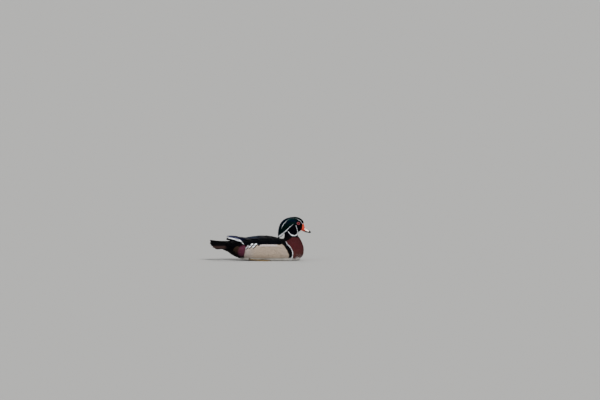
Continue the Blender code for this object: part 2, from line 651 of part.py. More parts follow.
def make_tail():
    form = loft(TAIL_BASE, 0, len(TAIL_BASE) - 1, 7, 18, trim=SEAM)
    tail = mesh_object("tail", *form, (0.03, 0.03, 0.04), 0.45)
    boolean(tail, tail_feathers(np.random.default_rng(7)), "UNION", "MANIFOLD")
    boolean(tail, [grown("torso")], "DIFFERENCE", "MANIFOLD")
    keep_largest(tail)
    return tail


def make_leg(side):
    joint = np.array(FOOT_JOINT)
    heel = np.array(HEEL)
    path = [heel, heel + (joint - heel) * 0.25, heel + (joint - heel) * 0.7, joint]
    form = tube(mirrored(path, side), LEG_RADII, 10, 0.0)
    leg = mesh_object(f"leg_{NAMES[side]}", *form, (0.35, 0.25, 0.08), 0.5)
    path = [heel + (-1.5, 0, -0.5), heel + (3, -1, 5), heel + (9, -2, 14)]
    thigh = cutter(*tube(mirrored(path, side), THIGH_RADII, 10, 0.0))
    boolean(leg, [thigh], "UNION", "MANIFOLD")
    boolean(leg, [grown("torso")], "DIFFERENCE", "MANIFOLD")
    keep_largest(leg)
    return leg


def make_foot(side):
    joint = np.array(FOOT_JOINT)
    pieces = []
    tips = {}
    for name, (knuckle, tip) in TOES.items():
        knuckle, tip = np.array(knuckle), np.array(tip)
        ahead = (tip - knuckle) / np.linalg.norm(tip - knuckle)
        claw = tip + ahead * CLAW_LENGTH + (0, 0, -1.0)
        path = [joint, knuckle, tip, tip + ahead * 2.5, claw]
        radii = (TOE_RADIUS * 1.25, TOE_RADIUS * 1.1, TOE_RADIUS * 0.95, 1.1, 0.35)
        pieces.append(tube(mirrored(path, side), radii, 6, 0.0))
        tips[name] = tip
    hind = [joint + (0.5, -1, -0.5), joint + (-5, -6, -0.8), joint + (-10, -9, -1.6)]
    pieces.append(tube(mirrored(hind, side), (1.8, 1.4, 0.5), 6, 0.0))
    foot = mesh_object(f"foot_{NAMES[side]}", *pieces[0], (0.35, 0.25, 0.08), 0.5)
    webs = []
    for first, second in (("inner", "middle"), ("middle", "outer")):
        grid = []
        for f in np.linspace(0.15, 1, 3):
            a, b = joint + (tips[first] - joint) * f, joint + (tips[second] - joint) * f
            pull = WEB_HOLLOW * f**3
            inwards = ((a + b) / 2 - joint) * pull
            grid.append([a + (b - a) * g - inwards * 4 * g * (1 - g) for g in np.linspace(0, 1, 3)])
        grid = mirrored(grid, side)
        top, bottom = grid.copy(), grid.copy()
        top[..., 2], bottom[..., 2] = WEB_TOP, WEB_BOTTOM
        webs.append(cutter(*sheet(top, bottom)))
    boolean(foot, [*(cutter(*p) for p in pieces[1:]), *webs], "UNION", "MANIFOLD")
    boolean(foot, [grown("torso"), grown(f"leg_{NAMES[side]}")], "DIFFERENCE", "MANIFOLD")
    keep_largest(foot)
    return foot


def main():
    clear_scene()
    make_torso()
    make_neck()
    make_head()
    make_bill()
    make_tail()
    for side in (LEFT, RIGHT):
        make_eye(side)
        make_wing(side)
        make_leg(side)
        make_foot(side)
    for obj in bpy.data.objects:
        finish_shading(obj)


def clear_scene():
    for obj in list(bpy.data.objects):
        bpy.data.objects.remove(obj)


main()
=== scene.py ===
"""The looks of a drake wood duck at rest: skin, feathers, bill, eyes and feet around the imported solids.

The bird faces +X with +Z up, and its left side is +Y. Tables are in millimetres, as in the part.
"""
import math

import bmesh
import bpy
import numpy as np
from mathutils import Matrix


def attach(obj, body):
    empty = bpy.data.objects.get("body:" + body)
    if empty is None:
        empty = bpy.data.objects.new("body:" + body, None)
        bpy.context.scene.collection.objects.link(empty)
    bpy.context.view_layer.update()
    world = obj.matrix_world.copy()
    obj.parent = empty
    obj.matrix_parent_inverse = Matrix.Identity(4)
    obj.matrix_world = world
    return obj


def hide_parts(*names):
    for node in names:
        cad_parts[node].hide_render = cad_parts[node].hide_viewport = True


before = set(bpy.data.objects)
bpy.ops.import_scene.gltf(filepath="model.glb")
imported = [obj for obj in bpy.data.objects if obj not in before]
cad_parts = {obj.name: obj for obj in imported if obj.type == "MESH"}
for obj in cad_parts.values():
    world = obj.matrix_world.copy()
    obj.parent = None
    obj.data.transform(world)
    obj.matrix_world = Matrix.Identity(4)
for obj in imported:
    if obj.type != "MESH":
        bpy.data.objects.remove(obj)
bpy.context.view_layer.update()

MM = 0.001
LEFT, RIGHT = 1, -1
NAMES = {LEFT: "left", RIGHT: "right"}

# Camera, floor, light.
PIXEL = 4.1  # millimetres of the bird's plane in one pixel of the photograph
PHOTO_WIDTH = 600
PHOTO_CENTRE = (162.0, 0.0, 248.0)
CAMERA_ELEVATION = math.radians(3.0)
LENS, SENSOR = 500.0, 36.0
CLIP = (1.0, 500.0)
LIGHTS = (  # name, strength, angle it spans, elevation, azimuth, colour
    ("key", 4.8, 20, 38, 20, (1.0, 0.99, 0.98)),
    ("fill", 0.9, 60, 35, -60, (0.95, 0.98, 1.0)),
    ("rim", 0.6, 30, 50, 190, (1.0, 0.99, 0.97)),
)
SKY_LOW, SKY_HIGH = (0.42, 0.42, 0.40, 1), (1.0, 1.0, 1.0, 1)
SKY_WHITE_FROM, SKY_STRENGTH = 0.6, 0.38
FLOOR_GREY, FLOOR_ROUGH, FLOOR_HALF = (0.37, 0.37, 0.36, 1.0), 0.8, 220.0


def make_camera():
    data = bpy.data.cameras.new("camera")
    data.lens, data.sensor_width = LENS, SENSOR
    data.clip_start, data.clip_end = CLIP
    camera = bpy.data.objects.new("camera", data)
    bpy.context.scene.collection.objects.link(camera)
    distance = PIXEL * PHOTO_WIDTH * LENS / SENSOR * MM
    back = (0.0, -math.cos(CAMERA_ELEVATION), math.sin(CAMERA_ELEVATION))
    camera.location = [c * MM + b * distance for c, b in zip(PHOTO_CENTRE, back)]
    camera.rotation_euler = (math.pi / 2 - CAMERA_ELEVATION, 0.0, 0.0)
    bpy.context.scene.camera = camera


make_camera()


def sun(name, strength, spans, elevation, azimuth, colour):
    """A wide soft sun; azimuth 0 shines from the camera's side and 90 from the bird's front."""
    data = bpy.data.lights.new(name, "SUN")
    data.energy, data.angle, data.color = strength, math.radians(spans), colour
    lamp = bpy.data.objects.new(name, data)
    bpy.context.scene.collection.objects.link(lamp)
    lamp.rotation_euler = (math.radians(90 - elevation), 0.0, math.radians(azimuth))


def make_light():
    for light in LIGHTS:
        sun(*light)
    world = bpy.data.worlds.new("studio")
    world.use_nodes = True
    nodes, links = world.node_tree.nodes, world.node_tree.links
    where = nodes.new("ShaderNodeTexCoord")
    split = nodes.new("ShaderNodeSeparateXYZ")
    shade = nodes.new("ShaderNodeValToRGB")
    links.new(where.outputs["Generated"], split.inputs[0])
    links.new(split.outputs["Z"], shade.inputs[0])
    low, high = shade.color_ramp.elements
    low.color = SKY_LOW
    high.position, high.color = SKY_WHITE_FROM, SKY_HIGH
    links.new(shade.outputs[0], nodes["Background"].inputs[0])
    nodes["Background"].inputs[1].default_value = SKY_STRENGTH
    bpy.context.scene.world = world


make_light()

# Forms, as in the part: upper edge x and z, lower edge x and z, half width, drop, squareness above and below.
# What a row leaves out at its end is 0.
BODY = (
    (181, 145.5, 171, 124, 10, 0, 0.03, 0.03),
    (178, 155.5, 164.5, 121, 14, 0.02, 0, 0.02),
    (171, 167, 158.5, 117.5, 17.5, 0.04),
    (157, 176, 154.5, 113, 20, 0.06),
    (139.5, 179.3, 152, 108.5, 21.3, 0.06),
    (122, 175, 151.5, 106, 21.6, 0.04),
    (108, 163, 151.5, 104.5, 21.6, 0.02),
    (100, 146, 152.5, 102.5, 21.4),
    (97.5, 128, 154.5, 99.5, 21.2),
    (98, 112, 158, 95.5, 22.5),
    (98, 99, 163, 88.5, 26),
    (95, 91, 170, 74.5, 36),
    (88, 89.5, 177, 52, 48, 0, 0, 0.02),
    (78, 91, 175, 24, 56, 0, 0, 0.03),
    (66, 94.5, 158, 5, 61, 0.02, 0, 0.04),
    (50, 98.5, 130, -2.5, 64.5, 0.04, 0, 0.05),
    (30, 101.5, 88, -3.5, 67, 0.05, 0, 0.06),
    (5, 102, 42, -3.5, 68, 0.05, 0, 0.06),
    (-25, 100, -5, -3, 67, 0.05, 0, 0.05),
    (-55, 95.5, -50, 1, 61.5, 0.04, 0, 0.04),
    (-80, 90, -88, 10, 51.5, 0.02, 0, 0.02),
    (-100, 85, -115, 22, 39),
    (-117, 80.5, -133, 35, 28, -0.02),
    (-129, 80, -146, 40.5, 25, -0.02),
    (-141, 79, -157, 46, 19),
    (-152, 77, -165, 54, 10),
    (-158, 74, -168, 62, 3),
)
CREST = (
    (158, 170, 146, 150, 13),
    (140, 178.2, 130, 141, 17.8),
    (122, 177.6, 118, 131, 19.3),
    (106, 173, 109, 123, 18.3),
    (93, 165.5, 102.5, 116.5, 16.3),
    (83, 154.5, 97, 111, 13.8),
    (76.3, 141, 93, 106.3, 11.3),
    (72.8, 124.5, 90.5, 102, 9),
    (71.3, 109, 88, 98.8, 7),
    (71.5, 99.5, 82.5, 96.2, 4.5),
    (73.5, 96.2, 77.5, 95.6, 1.5),
)
WING_ROWS = (13.7, 15.0, 16.5, 18.0, 19.3)
WING_EDGES = (15.0, 40.0, 66.0)
WING_FREE = (
    ((-97, 16, 98), (-94, 28, 92.5), (-89, 37, 80.5)),
    ((-120, 13, 99.8), (-119, 21, 95.5), (-116, 27, 86.5)),
    ((-143, 13.5, 97.5), (-143.5, 16, 95), (-142, 18.5, 91)),
)
WING_FRONT_ROUND, WING_FRONT_END = 0.09, 0.3
WING_FOREMOST = 0.4  # share of its height at which it reaches furthest forward
WING_TUCK = 7.0
TAIL_ROOT_X, TAIL_LENGTH, TAIL_OUTER_SHORTER = -103.0, 103.5, 21.5
TAIL_ROOT_WIDTH, TAIL_SPREAD = 19.0, 21.0
TAIL_TOP, TAIL_DROOP = 80.0, 31.0
TAIL_LIFT, TAIL_SAG = 2.0, 3.5
TAIL_ROOT_DROOP = 0.75  # share of the droop that the fan has at its root
NUDGE = 1e-3  # between two points that give a direction
EDGE = (0.01, 0.99)  # the part of its unwrap that a wing or tail uses


def unit(v):
    return v / (np.linalg.norm(v, axis=-1, keepdims=True) + 1e-12)


def ramp(x, low, high):
    """0 below low, 1 above high, smooth between."""
    f = np.clip((np.asarray(x, float) - low) / (high - low), 0, 1)
    return f * f * (3 - 2 * f)


def spline(table, s):
    """Rows of a table read at fractional row numbers, on a curve through all of them."""
    table = np.asarray(table, float)
    last = len(table) - 1
    s = np.clip(np.asarray(s, float), 0, last)
    i = np.minimum(s.astype(int), last - 1)
    f = (s - i).reshape(s.shape + (1,) * (table.ndim - 1))
    a, b, c, d = (table[np.clip(i + k, 0, last)] for k in (-1, 0, 1, 2))
    bend = (2 * a - 5 * b + 4 * c - d) * f**2 + (3 * b - a - 3 * c + d) * f**3
    return 0.5 * (2 * b + (c - a) * f + bend)


class Form:
    """A lofted form, read by row s and angle a in radians from its upper edge, left side positive."""

    flip = 1

    def __init__(self, table):
        self.table = np.array([(*row, 0, 0, 0)[:8] for row in table], float)
        self.last = len(table) - 1

    def point(self, s, a):
        ux, uz, lx, lz, half, drop, above, below = np.moveaxis(spline(self.table, s), -1, 0)
        square = np.where(np.cos(a) > 0, above, below)
        reach = 1 + square * np.sin(2 * a) ** 2
        down = 0.5 - 0.5 * np.cos(a) * reach + drop * np.sin(a) ** 2
        return np.stack([ux + (lx - ux) * down, half * np.sin(a) * reach, uz + (lz - uz) * down], -1)

    def frame(self, s, a):
        """Points, the steps of s and a, and the outward normals; past its ends a form runs on straight."""
        s, a = np.broadcast_arrays(np.asarray(s, float), a)
        step = NUDGE * self.last
        held = np.clip(s, step, self.last - step)
        ps = (self.point(held + step, a) - self.point(held - step, a)) / (2 * step)
        pa = (self.point(held, a + NUDGE) - self.point(held, a - NUDGE)) / (2 * NUDGE)
        normal = unit(np.cross(pa, ps)) * self.flip
        over = s - np.clip(s, 0, self.last)
        return self.point(s, a) + ps * over[..., None], ps, pa, normal

    def patch(self, s, a):
        """Where a root lies on an unwrap of the form."""
        return np.stack([s / self.last, (np.asarray(a) / (2 * np.pi)) % 1.0], -1)


class Wing(Form):
    """The folded wing: s from shoulder to tips and a from its upper edge to its lower, both 0 to 1."""

    last = 1.0

    def __init__(self, side):
        edges = np.radians(WING_EDGES)
        body = [BODY_FORM.point(np.full(3, row), edges) for row in WING_ROWS]
        self.rows, self.side, self.flip = np.array([*body, *WING_FREE]), side, side

    def point(self, s, a):
        s, v = np.broadcast_arrays(np.asarray(s, float), a)
        s = s + WING_FRONT_ROUND * (2 * v - 2 * WING_FOREMOST) ** 2 * np.clip(1 - s / WING_FRONT_END, 0, 1)
        across = spline(self.rows, s * (len(self.rows) - 1))
        top, middle, low = across[..., 0, :], across[..., 1, :], across[..., 2, :]
        v = v[..., None]
        bowed = top * (1 - v) * (1 - 2 * v) + middle * 4 * v * (1 - v) + low * v * (2 * v - 1)
        return bowed * (1, self.side, 1)

    def patch(self, s, a):
        return np.stack([np.asarray(s, float), np.asarray(a, float)], -1).clip(*EDGE)


class Fan(Form):
    """The spread tail: s from root to tip, a from -1 at its right edge to 1 at its left."""

    last = 1.0

    def __init__(self):
        """Needs no table."""

    def point(self, s, a):
        s, a = np.broadcast_arrays(np.asarray(s, float), a)
        out = np.abs(a)
        x = TAIL_ROOT_X - (TAIL_LENGTH - TAIL_OUTER_SHORTER * out**4) * s
        arch = TAIL_LIFT * s**2 - TAIL_SAG * np.sin(np.pi * np.clip(s, 0, 1)) * (1 - out)
        z = TAIL_TOP + arch - TAIL_DROOP * out**1.5 * (TAIL_ROOT_DROOP + (1 - TAIL_ROOT_DROOP) * s)
        return np.stack([x, a * (TAIL_ROOT_WIDTH + TAIL_SPREAD * s), z], -1)

    def frame(self, s, a):
        p, ps, pa, normal = super().frame(s, a)
        return p, ps, pa, normal * np.sign(normal[..., 2:])

    def patch(self, s, a):
        return np.stack([np.asarray(s, float), np.asarray(a, float) * 0.5 + 0.5], -1).clip(*EDGE)


BODY_FORM = Form(BODY)
CREST_FORM = Form(CREST)
WINGS = {side: Wing(side) for side in (LEFT, RIGHT)}
TAIL_FAN = Fan()


# Meshes.
def build_mesh(name, points, polygons, smooth=None):
    """A mesh object from points in millimetres and a list of arrays of like polygons."""
    mesh = bpy.data.meshes.new(name)
    points = np.asarray(points, np.float32).reshape(-1, 3) * MM
    corners = np.concatenate([p.ravel() for p in polygons]).astype(np.int32)
    sizes = np.concatenate([np.full(len(p), p.shape[1]) for p in polygons])
    starts = np.concatenate([[0], np.cumsum(sizes)[:-1]]).astype(np.int32)
    mesh.vertices.add(len(points))
    mesh.vertices.foreach_set("co", points.ravel())
    mesh.loops.add(len(corners))
    mesh.loops.foreach_set("vertex_index", corners)
    mesh.polygons.add(len(starts))
    mesh.polygons.foreach_set("loop_start", starts)
    smooth = np.ones(len(starts), bool) if smooth is None else smooth
    mesh.polygons.foreach_set("use_smooth", smooth)
    mesh.update(calc_edges=True)
    mesh.validate()
    obj = bpy.data.objects.new(name, mesh)
    bpy.context.scene.collection.objects.link(obj)
    return obj


def dress(obj, tint, material, slot, *replaced):
    """Gives a piece its tint and material, and says what it rides on and stands for."""
    data = obj.data.attributes.new("tint", "FLOAT_COLOR", "POINT").data
    data.foreach_set("color", np.asarray(tint, np.float32).reshape(-1))
    obj.data.materials.clear()
    obj.data.materials.append(material)
    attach(obj, "root")
    if replaced:
        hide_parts(*replaced)


def vertices(obj):
    """Points of a mesh in millimetres."""
    flat = np.empty(len(obj.data.vertices) * 3, np.float32)
    obj.data.vertices.foreach_get("co", flat)
    return flat.reshape(-1, 3) / MM


def put_uv(obj, name, uv):
    """A UV map from one place for each vertex."""
    corners = np.empty(len(obj.data.loops), np.int32)
    obj.data.loops.foreach_get("vertex_index", corners)
    layer = obj.data.uv_layers.new(name=name)
    layer.uv.foreach_set("vector", np.asarray(uv, np.float32).reshape(-1, 2)[corners].ravel())


def grid_faces(rows, columns, wrap=False):
    """Quads of a grid of points, whose columns close on themselves if wrap is set."""
    i, j = np.meshgrid(np.arange(rows - 1), np.arange(columns if wrap else columns - 1), indexing="ij")
    i, k = i * columns, (j + 1) % columns
    return np.stack([i + j, i + columns + j, i + columns + k, i + k], -1).reshape(-1, 4)


def tube_faces(rows, around):
    """Faces of a closed tube of rings with flat ends."""
    first = np.arange(around)
    return [grid_faces(rows, around, True), first[None, :], (first[::-1] + (rows - 1) * around)[None, :]]


def solid(name, points, faces=None):
    """A closed mesh whose faces all point outwards; a tube if its faces aren't given."""
    obj = build_mesh(name, points, faces or tube_faces(*points.shape[:2]))
    work = bmesh.new()
    work.from_mesh(obj.data)
    bmesh.ops.recalc_face_normals(work, faces=work.faces)
    work.to_mesh(obj.data)
    work.free()
    return obj


def mirror(points, side):
    return np.asarray(points, float) * (1, side, 1)


def circle(count):
    return np.linspace(0, 2 * np.pi, count, endpoint=False)


def run_along(line):
    """Distance of each point of a line from its first."""
    return np.concatenate([[0], np.cumsum(np.linalg.norm(np.diff(line, axis=0), axis=1))])


def varied(draw, spread, shape, most=0.2):
    """Random factors close to 1."""
    return draw.normal(1, spread, shape).clip(1 - most, 1 + most)


def mottled(colour, draw, spread, most):
    """Tints of feathers, each a little lighter or darker."""
    colour = np.array(colour)
    colour[..., :3] *= varied(draw, spread, (len(colour), 1, 1, 1), most)
    return colour


PATCH = 0.003  # of the unwrap, for each feather
TORN = (0.5, 1.0)  # share of a feather's length over which its tip gets ragged
VANE_SCALE = 0.1  # a millimetre of a feather in the map that its barbs follow
VANE_PLACES, VANE_APART = 60, 20  # each feather starts at its own place, up to 60 times 20 mm along that map


class Coat:
    """Closed thin feathers gathered into one mesh."""

    def __init__(self, name, seed):
        self.name, self.draw = name, np.random.default_rng(seed)
        self.points, self.tints, self.vane, self.bake = [], [], [], []
        self.polygons, self.count = {}, 0

    def add(self, grid, tint, width, length, marks, places):
        """Feathers from grids of points: feathers, rows, columns."""
        n, rows, columns = grid.shape[:3]
        block = rows * columns
        base = self.count + np.arange(n)[:, None, None] * block
        top = grid_faces(rows, columns)
        low = np.array([(r * columns, (r + 1) * columns - 1, (r + 2) * columns - 1, (r + 1) * columns)
                        for r in range(1, rows - 2)], int).reshape(-1, 4)
        root = np.array([*range(columns), 2 * columns - 1, columns])
        tip = np.array([block - 2 * columns, block - columns - 1, *range(block - 1, block - columns - 1, -1)])
        for faces, smooth in ((top, True), (low, False), (root[None], False), (tip[None], False)):
            if len(faces):
                corners = faces.shape[1]
                like = self.polygons.setdefault((corners, smooth), [])
                like.append((faces[None] + base).reshape(-1, corners))
        self.count += n * block
        self.points.append(grid.reshape(-1, 3))
        self.tints.append(np.broadcast_to(tint, (*grid.shape[:3], 4)).reshape(-1, 4))
        column = np.linspace(-0.5, 0.5, columns)[None, None, :]
        mark = np.asarray(marks)[None, :, None]
        across, along = column * np.reshape(width, (-1, 1, 1)), mark * np.reshape(length, (-1, 1, 1))
        number = self.draw.uniform(0, VANE_PLACES, (n, 1, 1)).round(2)
        vane = np.broadcast_arrays(across, along + number * VANE_APART)
        self.vane.append(np.stack(vane, -1).reshape(-1, 2))
        local = np.stack(np.broadcast_arrays(column, mark - 0.5), -1)
        self.bake.append((places[:, None, None] + local * PATCH).clip(0, 1).reshape(-1, 2))

    def build(self, material, slot, *replaced):
        keys = sorted(self.polygons)
        arrays = [np.concatenate(self.polygons[k]) for k in keys]
        smooth = np.concatenate([np.full(len(a), k[1]) for a, k in zip(arrays, keys)])
        obj = build_mesh(self.name, np.concatenate(self.points), arrays, smooth)
        put_uv(obj, "OFBake", np.concatenate(self.bake))
        put_uv(obj, "vane", np.concatenate(self.vane) * VANE_SCALE)
        dress(obj, np.concatenate(self.tints), material, slot, *replaced)


def grow(form, s, a, length, turn, marks):
    """Shafts laid over a form: points, normals and cross directions at shares of the length."""
    s, a = np.array(s, float), np.array(a, float)
    length, turn = np.broadcast_to(length, s.shape), np.broadcast_to(turn, s.shape)
    rows = []
    for i, mark in enumerate(marks):
        p, ps, pa, normal = form.frame(s, a)
        ahead = unit(ps)
        heading = ahead * np.cos(turn)[:, None] + np.cross(normal, ahead) * np.sin(turn)[:, None]
        rows.append((p, normal, np.cross(normal, heading)))
        if i + 1 == len(marks):
            break
        move = heading * ((marks[i + 1] - mark) * length)[:, None]
        e, f, g = (ps * ps).sum(-1), (ps * pa).sum(-1), (pa * pa).sum(-1)
        bs, ba = (ps * move).sum(-1), (pa * move).sum(-1)
        det = e * g - f * f + 1e-9
        s, a = s + (g * bs - f * ba) / det, a + (e * ba - f * bs) / det
    return [np.stack(column, 1) for column in zip(*rows)]


def blades(shafts, width, outline, columns, lifts, camber, roll, bow, fray, tear=None):
    """Grids of points of blades along shafts, raised by lifts along their length and ragged at their tips."""
    shaft, normal, across = shafts
    t = np.linspace(0, 1, shaft.shape[1])[None, :]
    column = np.linspace(-1, 1, columns)[None, None, :]
    half = 0.5 * np.reshape(width, (-1, 1)) * np.asarray(outline)[None, :]
    y = half[..., None] * column * (1 - fray * column**2)
    sag = camber * half[..., None] * column**2
    z = np.asarray(lifts)[..., None] + np.reshape(roll, (-1, 1, 1)) * y - sag
    y = y + (np.reshape(bow, (-1, 1)) * t**2)[..., None]
    grid = shaft[:, :, None] + across[:, :, None] * y[..., None] + normal[:, :, None] * z[..., None]
    if tear is not None:
        ahead = unit(np.gradient(shaft, axis=1))
        grid += ahead[:, :, None] * (tear[:, None, :] * ramp(t, *TORN)[..., None])[..., None]
    return grid


def thin_out(points, gap):
    """Indices of points that each keep their gap to those taken before them."""
    cell = float(gap.max())
    keys = np.floor(points / cell).astype(int).tolist()
    near = [(i, j, k) for i in (-1, 0, 1) for j in (-1, 0, 1) for k in (-1, 0, 1)]
    kept, taken = {}, []
    for index, ((x, y, z), (i, j, k), g) in enumerate(zip(points.tolist(), keys, (gap**2).tolist())):
        for di, dj, dk in near:
            crowd = kept.get((i + di, j + dj, k + dk))
            if crowd and any((x - u) ** 2 + (y - v) ** 2 + (z - w) ** 2 < g for u, v, w in crowd):
                break
        else:
            kept.setdefault((i, j, k), []).append((x, y, z))
            taken.append(index)
    return np.array(taken)


CELLS = (160, 200)  # lengthwise and round, in which roots are drawn
TRIES = 5.0  # roots drawn for each square of surface as wide as their spacing


def scatter(form, rows, angles, spacing, draw):
    """Roots spread evenly over part of a form, spacing(s) apart."""
    step = [(ends[1] - ends[0]) / count for ends, count in zip((rows, angles), CELLS)]
    centres = [ends[0] + d * (np.arange(count) + 0.5) for ends, d, count in zip((rows, angles), step, CELLS)]
    s, a = (grid.ravel() for grid in np.meshgrid(*centres, indexing="ij"))
    _, ps, pa, _ = form.frame(s, a)
    area = np.linalg.norm(np.cross(ps, pa), axis=-1) * step[0] * step[1]
    weight = area / spacing(s) ** 2
    pick = draw.choice(len(s), int(weight.sum() * TRIES), p=weight / weight.sum())
    s = s[pick] + draw.uniform(-0.5, 0.5, len(pick)) * step[0]
    a = a[pick] + draw.uniform(-0.5, 0.5, len(pick)) * step[1]
    kept = thin_out(form.point(s, a), spacing(s))
    return s[kept], a[kept]


# Markings, as seen from the side, alike on both sides.
def srgb(*levels):
    """Linear colour from 0 to 255 display levels."""
    c = np.asarray(levels) / 255
    return tuple(np.where(c <= 0.04045, c / 12.92, ((c + 0.055) / 1.055) ** 2.4).round(5))


WHITE = srgb(243, 246, 252)
CROWN_GREEN = srgb(4, 28, 27)
# colour of a painted highlight: brighter teal where light catches the crest's side
CREST_HIGHLIGHT = srgb(6, 59, 59)
NAPE_BLUE = srgb(8, 9, 40)
FACE_DARK = srgb(4, 9, 12)
CHEEK_PURPLE = srgb(7, 5, 14)
HIND_NECK = srgb(5, 4, 7)
BURGUNDY = srgb(68, 30, 33)
CHESTNUT = srgb(75, 43, 40)
BACK_BLACK = srgb(5, 5, 6)
WING_BLUE = srgb(6, 10, 40)
WING_VIOLET = srgb(72, 74, 112)
# colour of a painted sheen along the upper edge of the back and wings
SHEEN_TEAL = srgb(12, 34, 58)
WING_BLACK = srgb(4, 5, 8)
FLANK_TAN = srgb(161, 145, 129)
FLANK_BUFF = srgb(149, 135, 122)
FLANK_GREY = srgb(158, 149, 145)
MAROON = srgb(80, 39, 54)
BELLY = srgb(236, 232, 226)
GOLD = srgb(122, 96, 74)

# Lines: x, z and half width.
CREST_LINE = (
    (173.5, 149.5, 0.5), (170.8, 152.5, 0.55), (163.6, 162, 0.5), (156, 167.4, 0.45), (147, 171.6, 0.35),
    (134, 173.8, 0.3), (120, 171.4, 0.35), (109.5, 165.5, 0.55), (101, 157.5, 0.7), (95.4, 150, 0.7),
    (90.5, 142, 0.6), (86, 132.5, 0.4),
)
LOW_LINE = (
    (133, 148.5, 0.2), (129, 145.8, 0.4), (122.5, 140, 0.65), (115, 133, 0.95), (108, 126, 1.3),
    (102, 120, 1.7), (95, 113.3, 2.3), (88, 107, 2.7), (81, 101.5, 2.9), (76, 98.5, 2.4),
)
CHEEK_BAR = (
    (145.2, 144.5, 0.4), (146.4, 140.5, 0.65), (148.2, 134, 0.6), (150.2, 127, 0.55), (151.8, 119.5, 0.65),
    (152, 112, 1),
)
NECK_BAR = (
    (111.8, 122, 0.4), (114, 118.8, 0.8), (118, 113, 1), (124, 107.4, 1.2), (131, 103.8, 1.4),
    (138, 102.8, 1.55), (144, 103.6, 1.6), (149, 107, 1.5), (151.8, 112, 1.2),
)
BREAST_BAR = (
    (103.5, 80.5, 0.4), (106.2, 75, 0.6), (111.5, 68.6, 0.75), (117.3, 62, 0.85), (123.2, 54, 0.85),
    (128.4, 45.8, 0.85), (131.2, 37.8, 0.9), (131.8, 29.6, 0.95), (130.2, 18, 1.2), (126, 7, 1.6),
    (121, 0, 2),
)
CREST_BACK = (
    (132, 179, 3), (112, 177, 5.5), (96, 169, 7), (84, 156, 6.5), (76, 141, 6),
    (72, 125, 5), (70.5, 108, 4.5), (72, 97, 4),
)
WING_BAND = (
    (-62.5, 59, 0.6), (-66.5, 64, 0.7), (-71.5, 70.5, 0.7), (-77.5, 77.6, 1.3), (-83.5, 82.6, 3),
    (-92, 85.6, 3.9), (-104, 89, 3), (-118, 91.6, 2.2), (-130, 93.8, 1.8), (-142, 95.8, 1.4),
)
VIOLET_BAR = ((-88, 92, 1), (-98, 93.6, 1.8), (-108, 95.4, 2.4), (-120, 97.2, 2.8), (-136, 98.6, 2))
BLUE_BAR = ((-68, 88, 3), (-76, 86.5, 3.5), (-88, 90.5, 2.5), (-104, 93.5, 2), (-128, 97, 1.5))
CROWN_NAVY = ((152, 158, 2), (141, 162.5, 3.5), (128, 163.5, 4), (114, 158.5, 3.5), (106, 151, 2))
# Areas: outlines in x and z.
BEHIND_BAR = (
    (137, 106), (133, 97.5), (122, 90), (112, 85), *(place[:2] for place in BREAST_BAR), (118, -20),
    (-260, -20), (-260, 160), (60, 160), (100, 125),
)
CHEEK = (
    (176, 146), (170, 151), (163, 147), (155, 144.5), (147, 146.5), (138, 150.5), (131, 147), (116, 134),
    (102, 118.5), (96, 112), (96, 100), (170, 100), (182, 124),
)
FLANK = (
    (-58, 66), (-13, 72), (32, 74), (72, 75), (86, 71), (93.5, 65), (99.5, 57.5), (106, 46), (112.5, 35.5),
    (116, 26), (115, 15), (107, 3), (96, -8), (-70, -8), (-68, 20), (-64, 40),
)
MAROON_PATCH = (
    (-58, 64), (-62, 48), (-66, 33), (-70, 22), (-80, 18), (-90, 25), (-94, 38), (-91, 50), (-82, 60),
    (-70, 66),
)


RESAMPLED = 6  # steps from one place of a line to the next


def resample(line):
    last = len(line) - 1
    return spline(line, np.linspace(0, last, RESAMPLED * last + 1))


def beside(x, z, start, end):
    """Where a segment is nearest to places seen from the side, from 0 to 1, and how far away they are."""
    dx, dz = end[0] - start[0], end[1] - start[1]
    f = np.clip(((x - start[0]) * dx + (z - start[1]) * dz) / (dx * dx + dz * dz), 0, 1)
    return f, np.hypot(x - start[0] - f * dx, z - start[1] - f * dz)


def stripe(p, line, soft=0.45):
    """1 on a line that swells from point to point, 0 off it, for points seen from the side."""
    line = resample(line)
    x, z = p[..., 0].copy(), p[..., 2].copy()
    best = np.full(x.shape, np.inf)
    for start, end in zip(line, line[1:]):
        f, off = beside(x, z, start, end)
        best = np.minimum(best, off - (start[2] + (end[2] - start[2]) * f))
    return 1 - ramp(best, -soft, soft)


def inside(p, outline, soft=0.8):
    """1 inside an outline seen from the side, 0 outside it."""
    x, z = p[..., 0].copy(), p[..., 2].copy()
    within, best = np.zeros(x.shape, bool), np.full(x.shape, np.inf)
    for start, end in zip(outline, outline[1:] + outline[:1]):
        best = np.minimum(best, beside(x, z, start, end)[1])
        (ax, az), (bx, bz) = start, end
        if az != bz:
            within ^= ((az > z) != (bz > z)) & (x < (z - az) * (bx - ax) / (bz - az) + ax)
    return ramp(np.where(within, best, -best), -soft, soft)


def plain(shape, colour, gloss=0.0):
    """A tint of one colour with its metallic gloss."""
    return np.tile((*colour, gloss), (*shape, 1))


def paint(tint, *layers):
    """Lays colours over a tint in turn; each has its mask, its colour and, if it isn't 0, its gloss."""
    for mask, colour, *gloss in layers:
        mask = np.asarray(mask)[..., None]
        tint = tint * (1 - mask) + np.array([*colour, *(gloss or (0.0,))]) * mask
    return tint


def sides(p):
    """x, the distance from the middle plane, and z."""
    return p[..., 0], np.abs(p[..., 1]), p[..., 2]


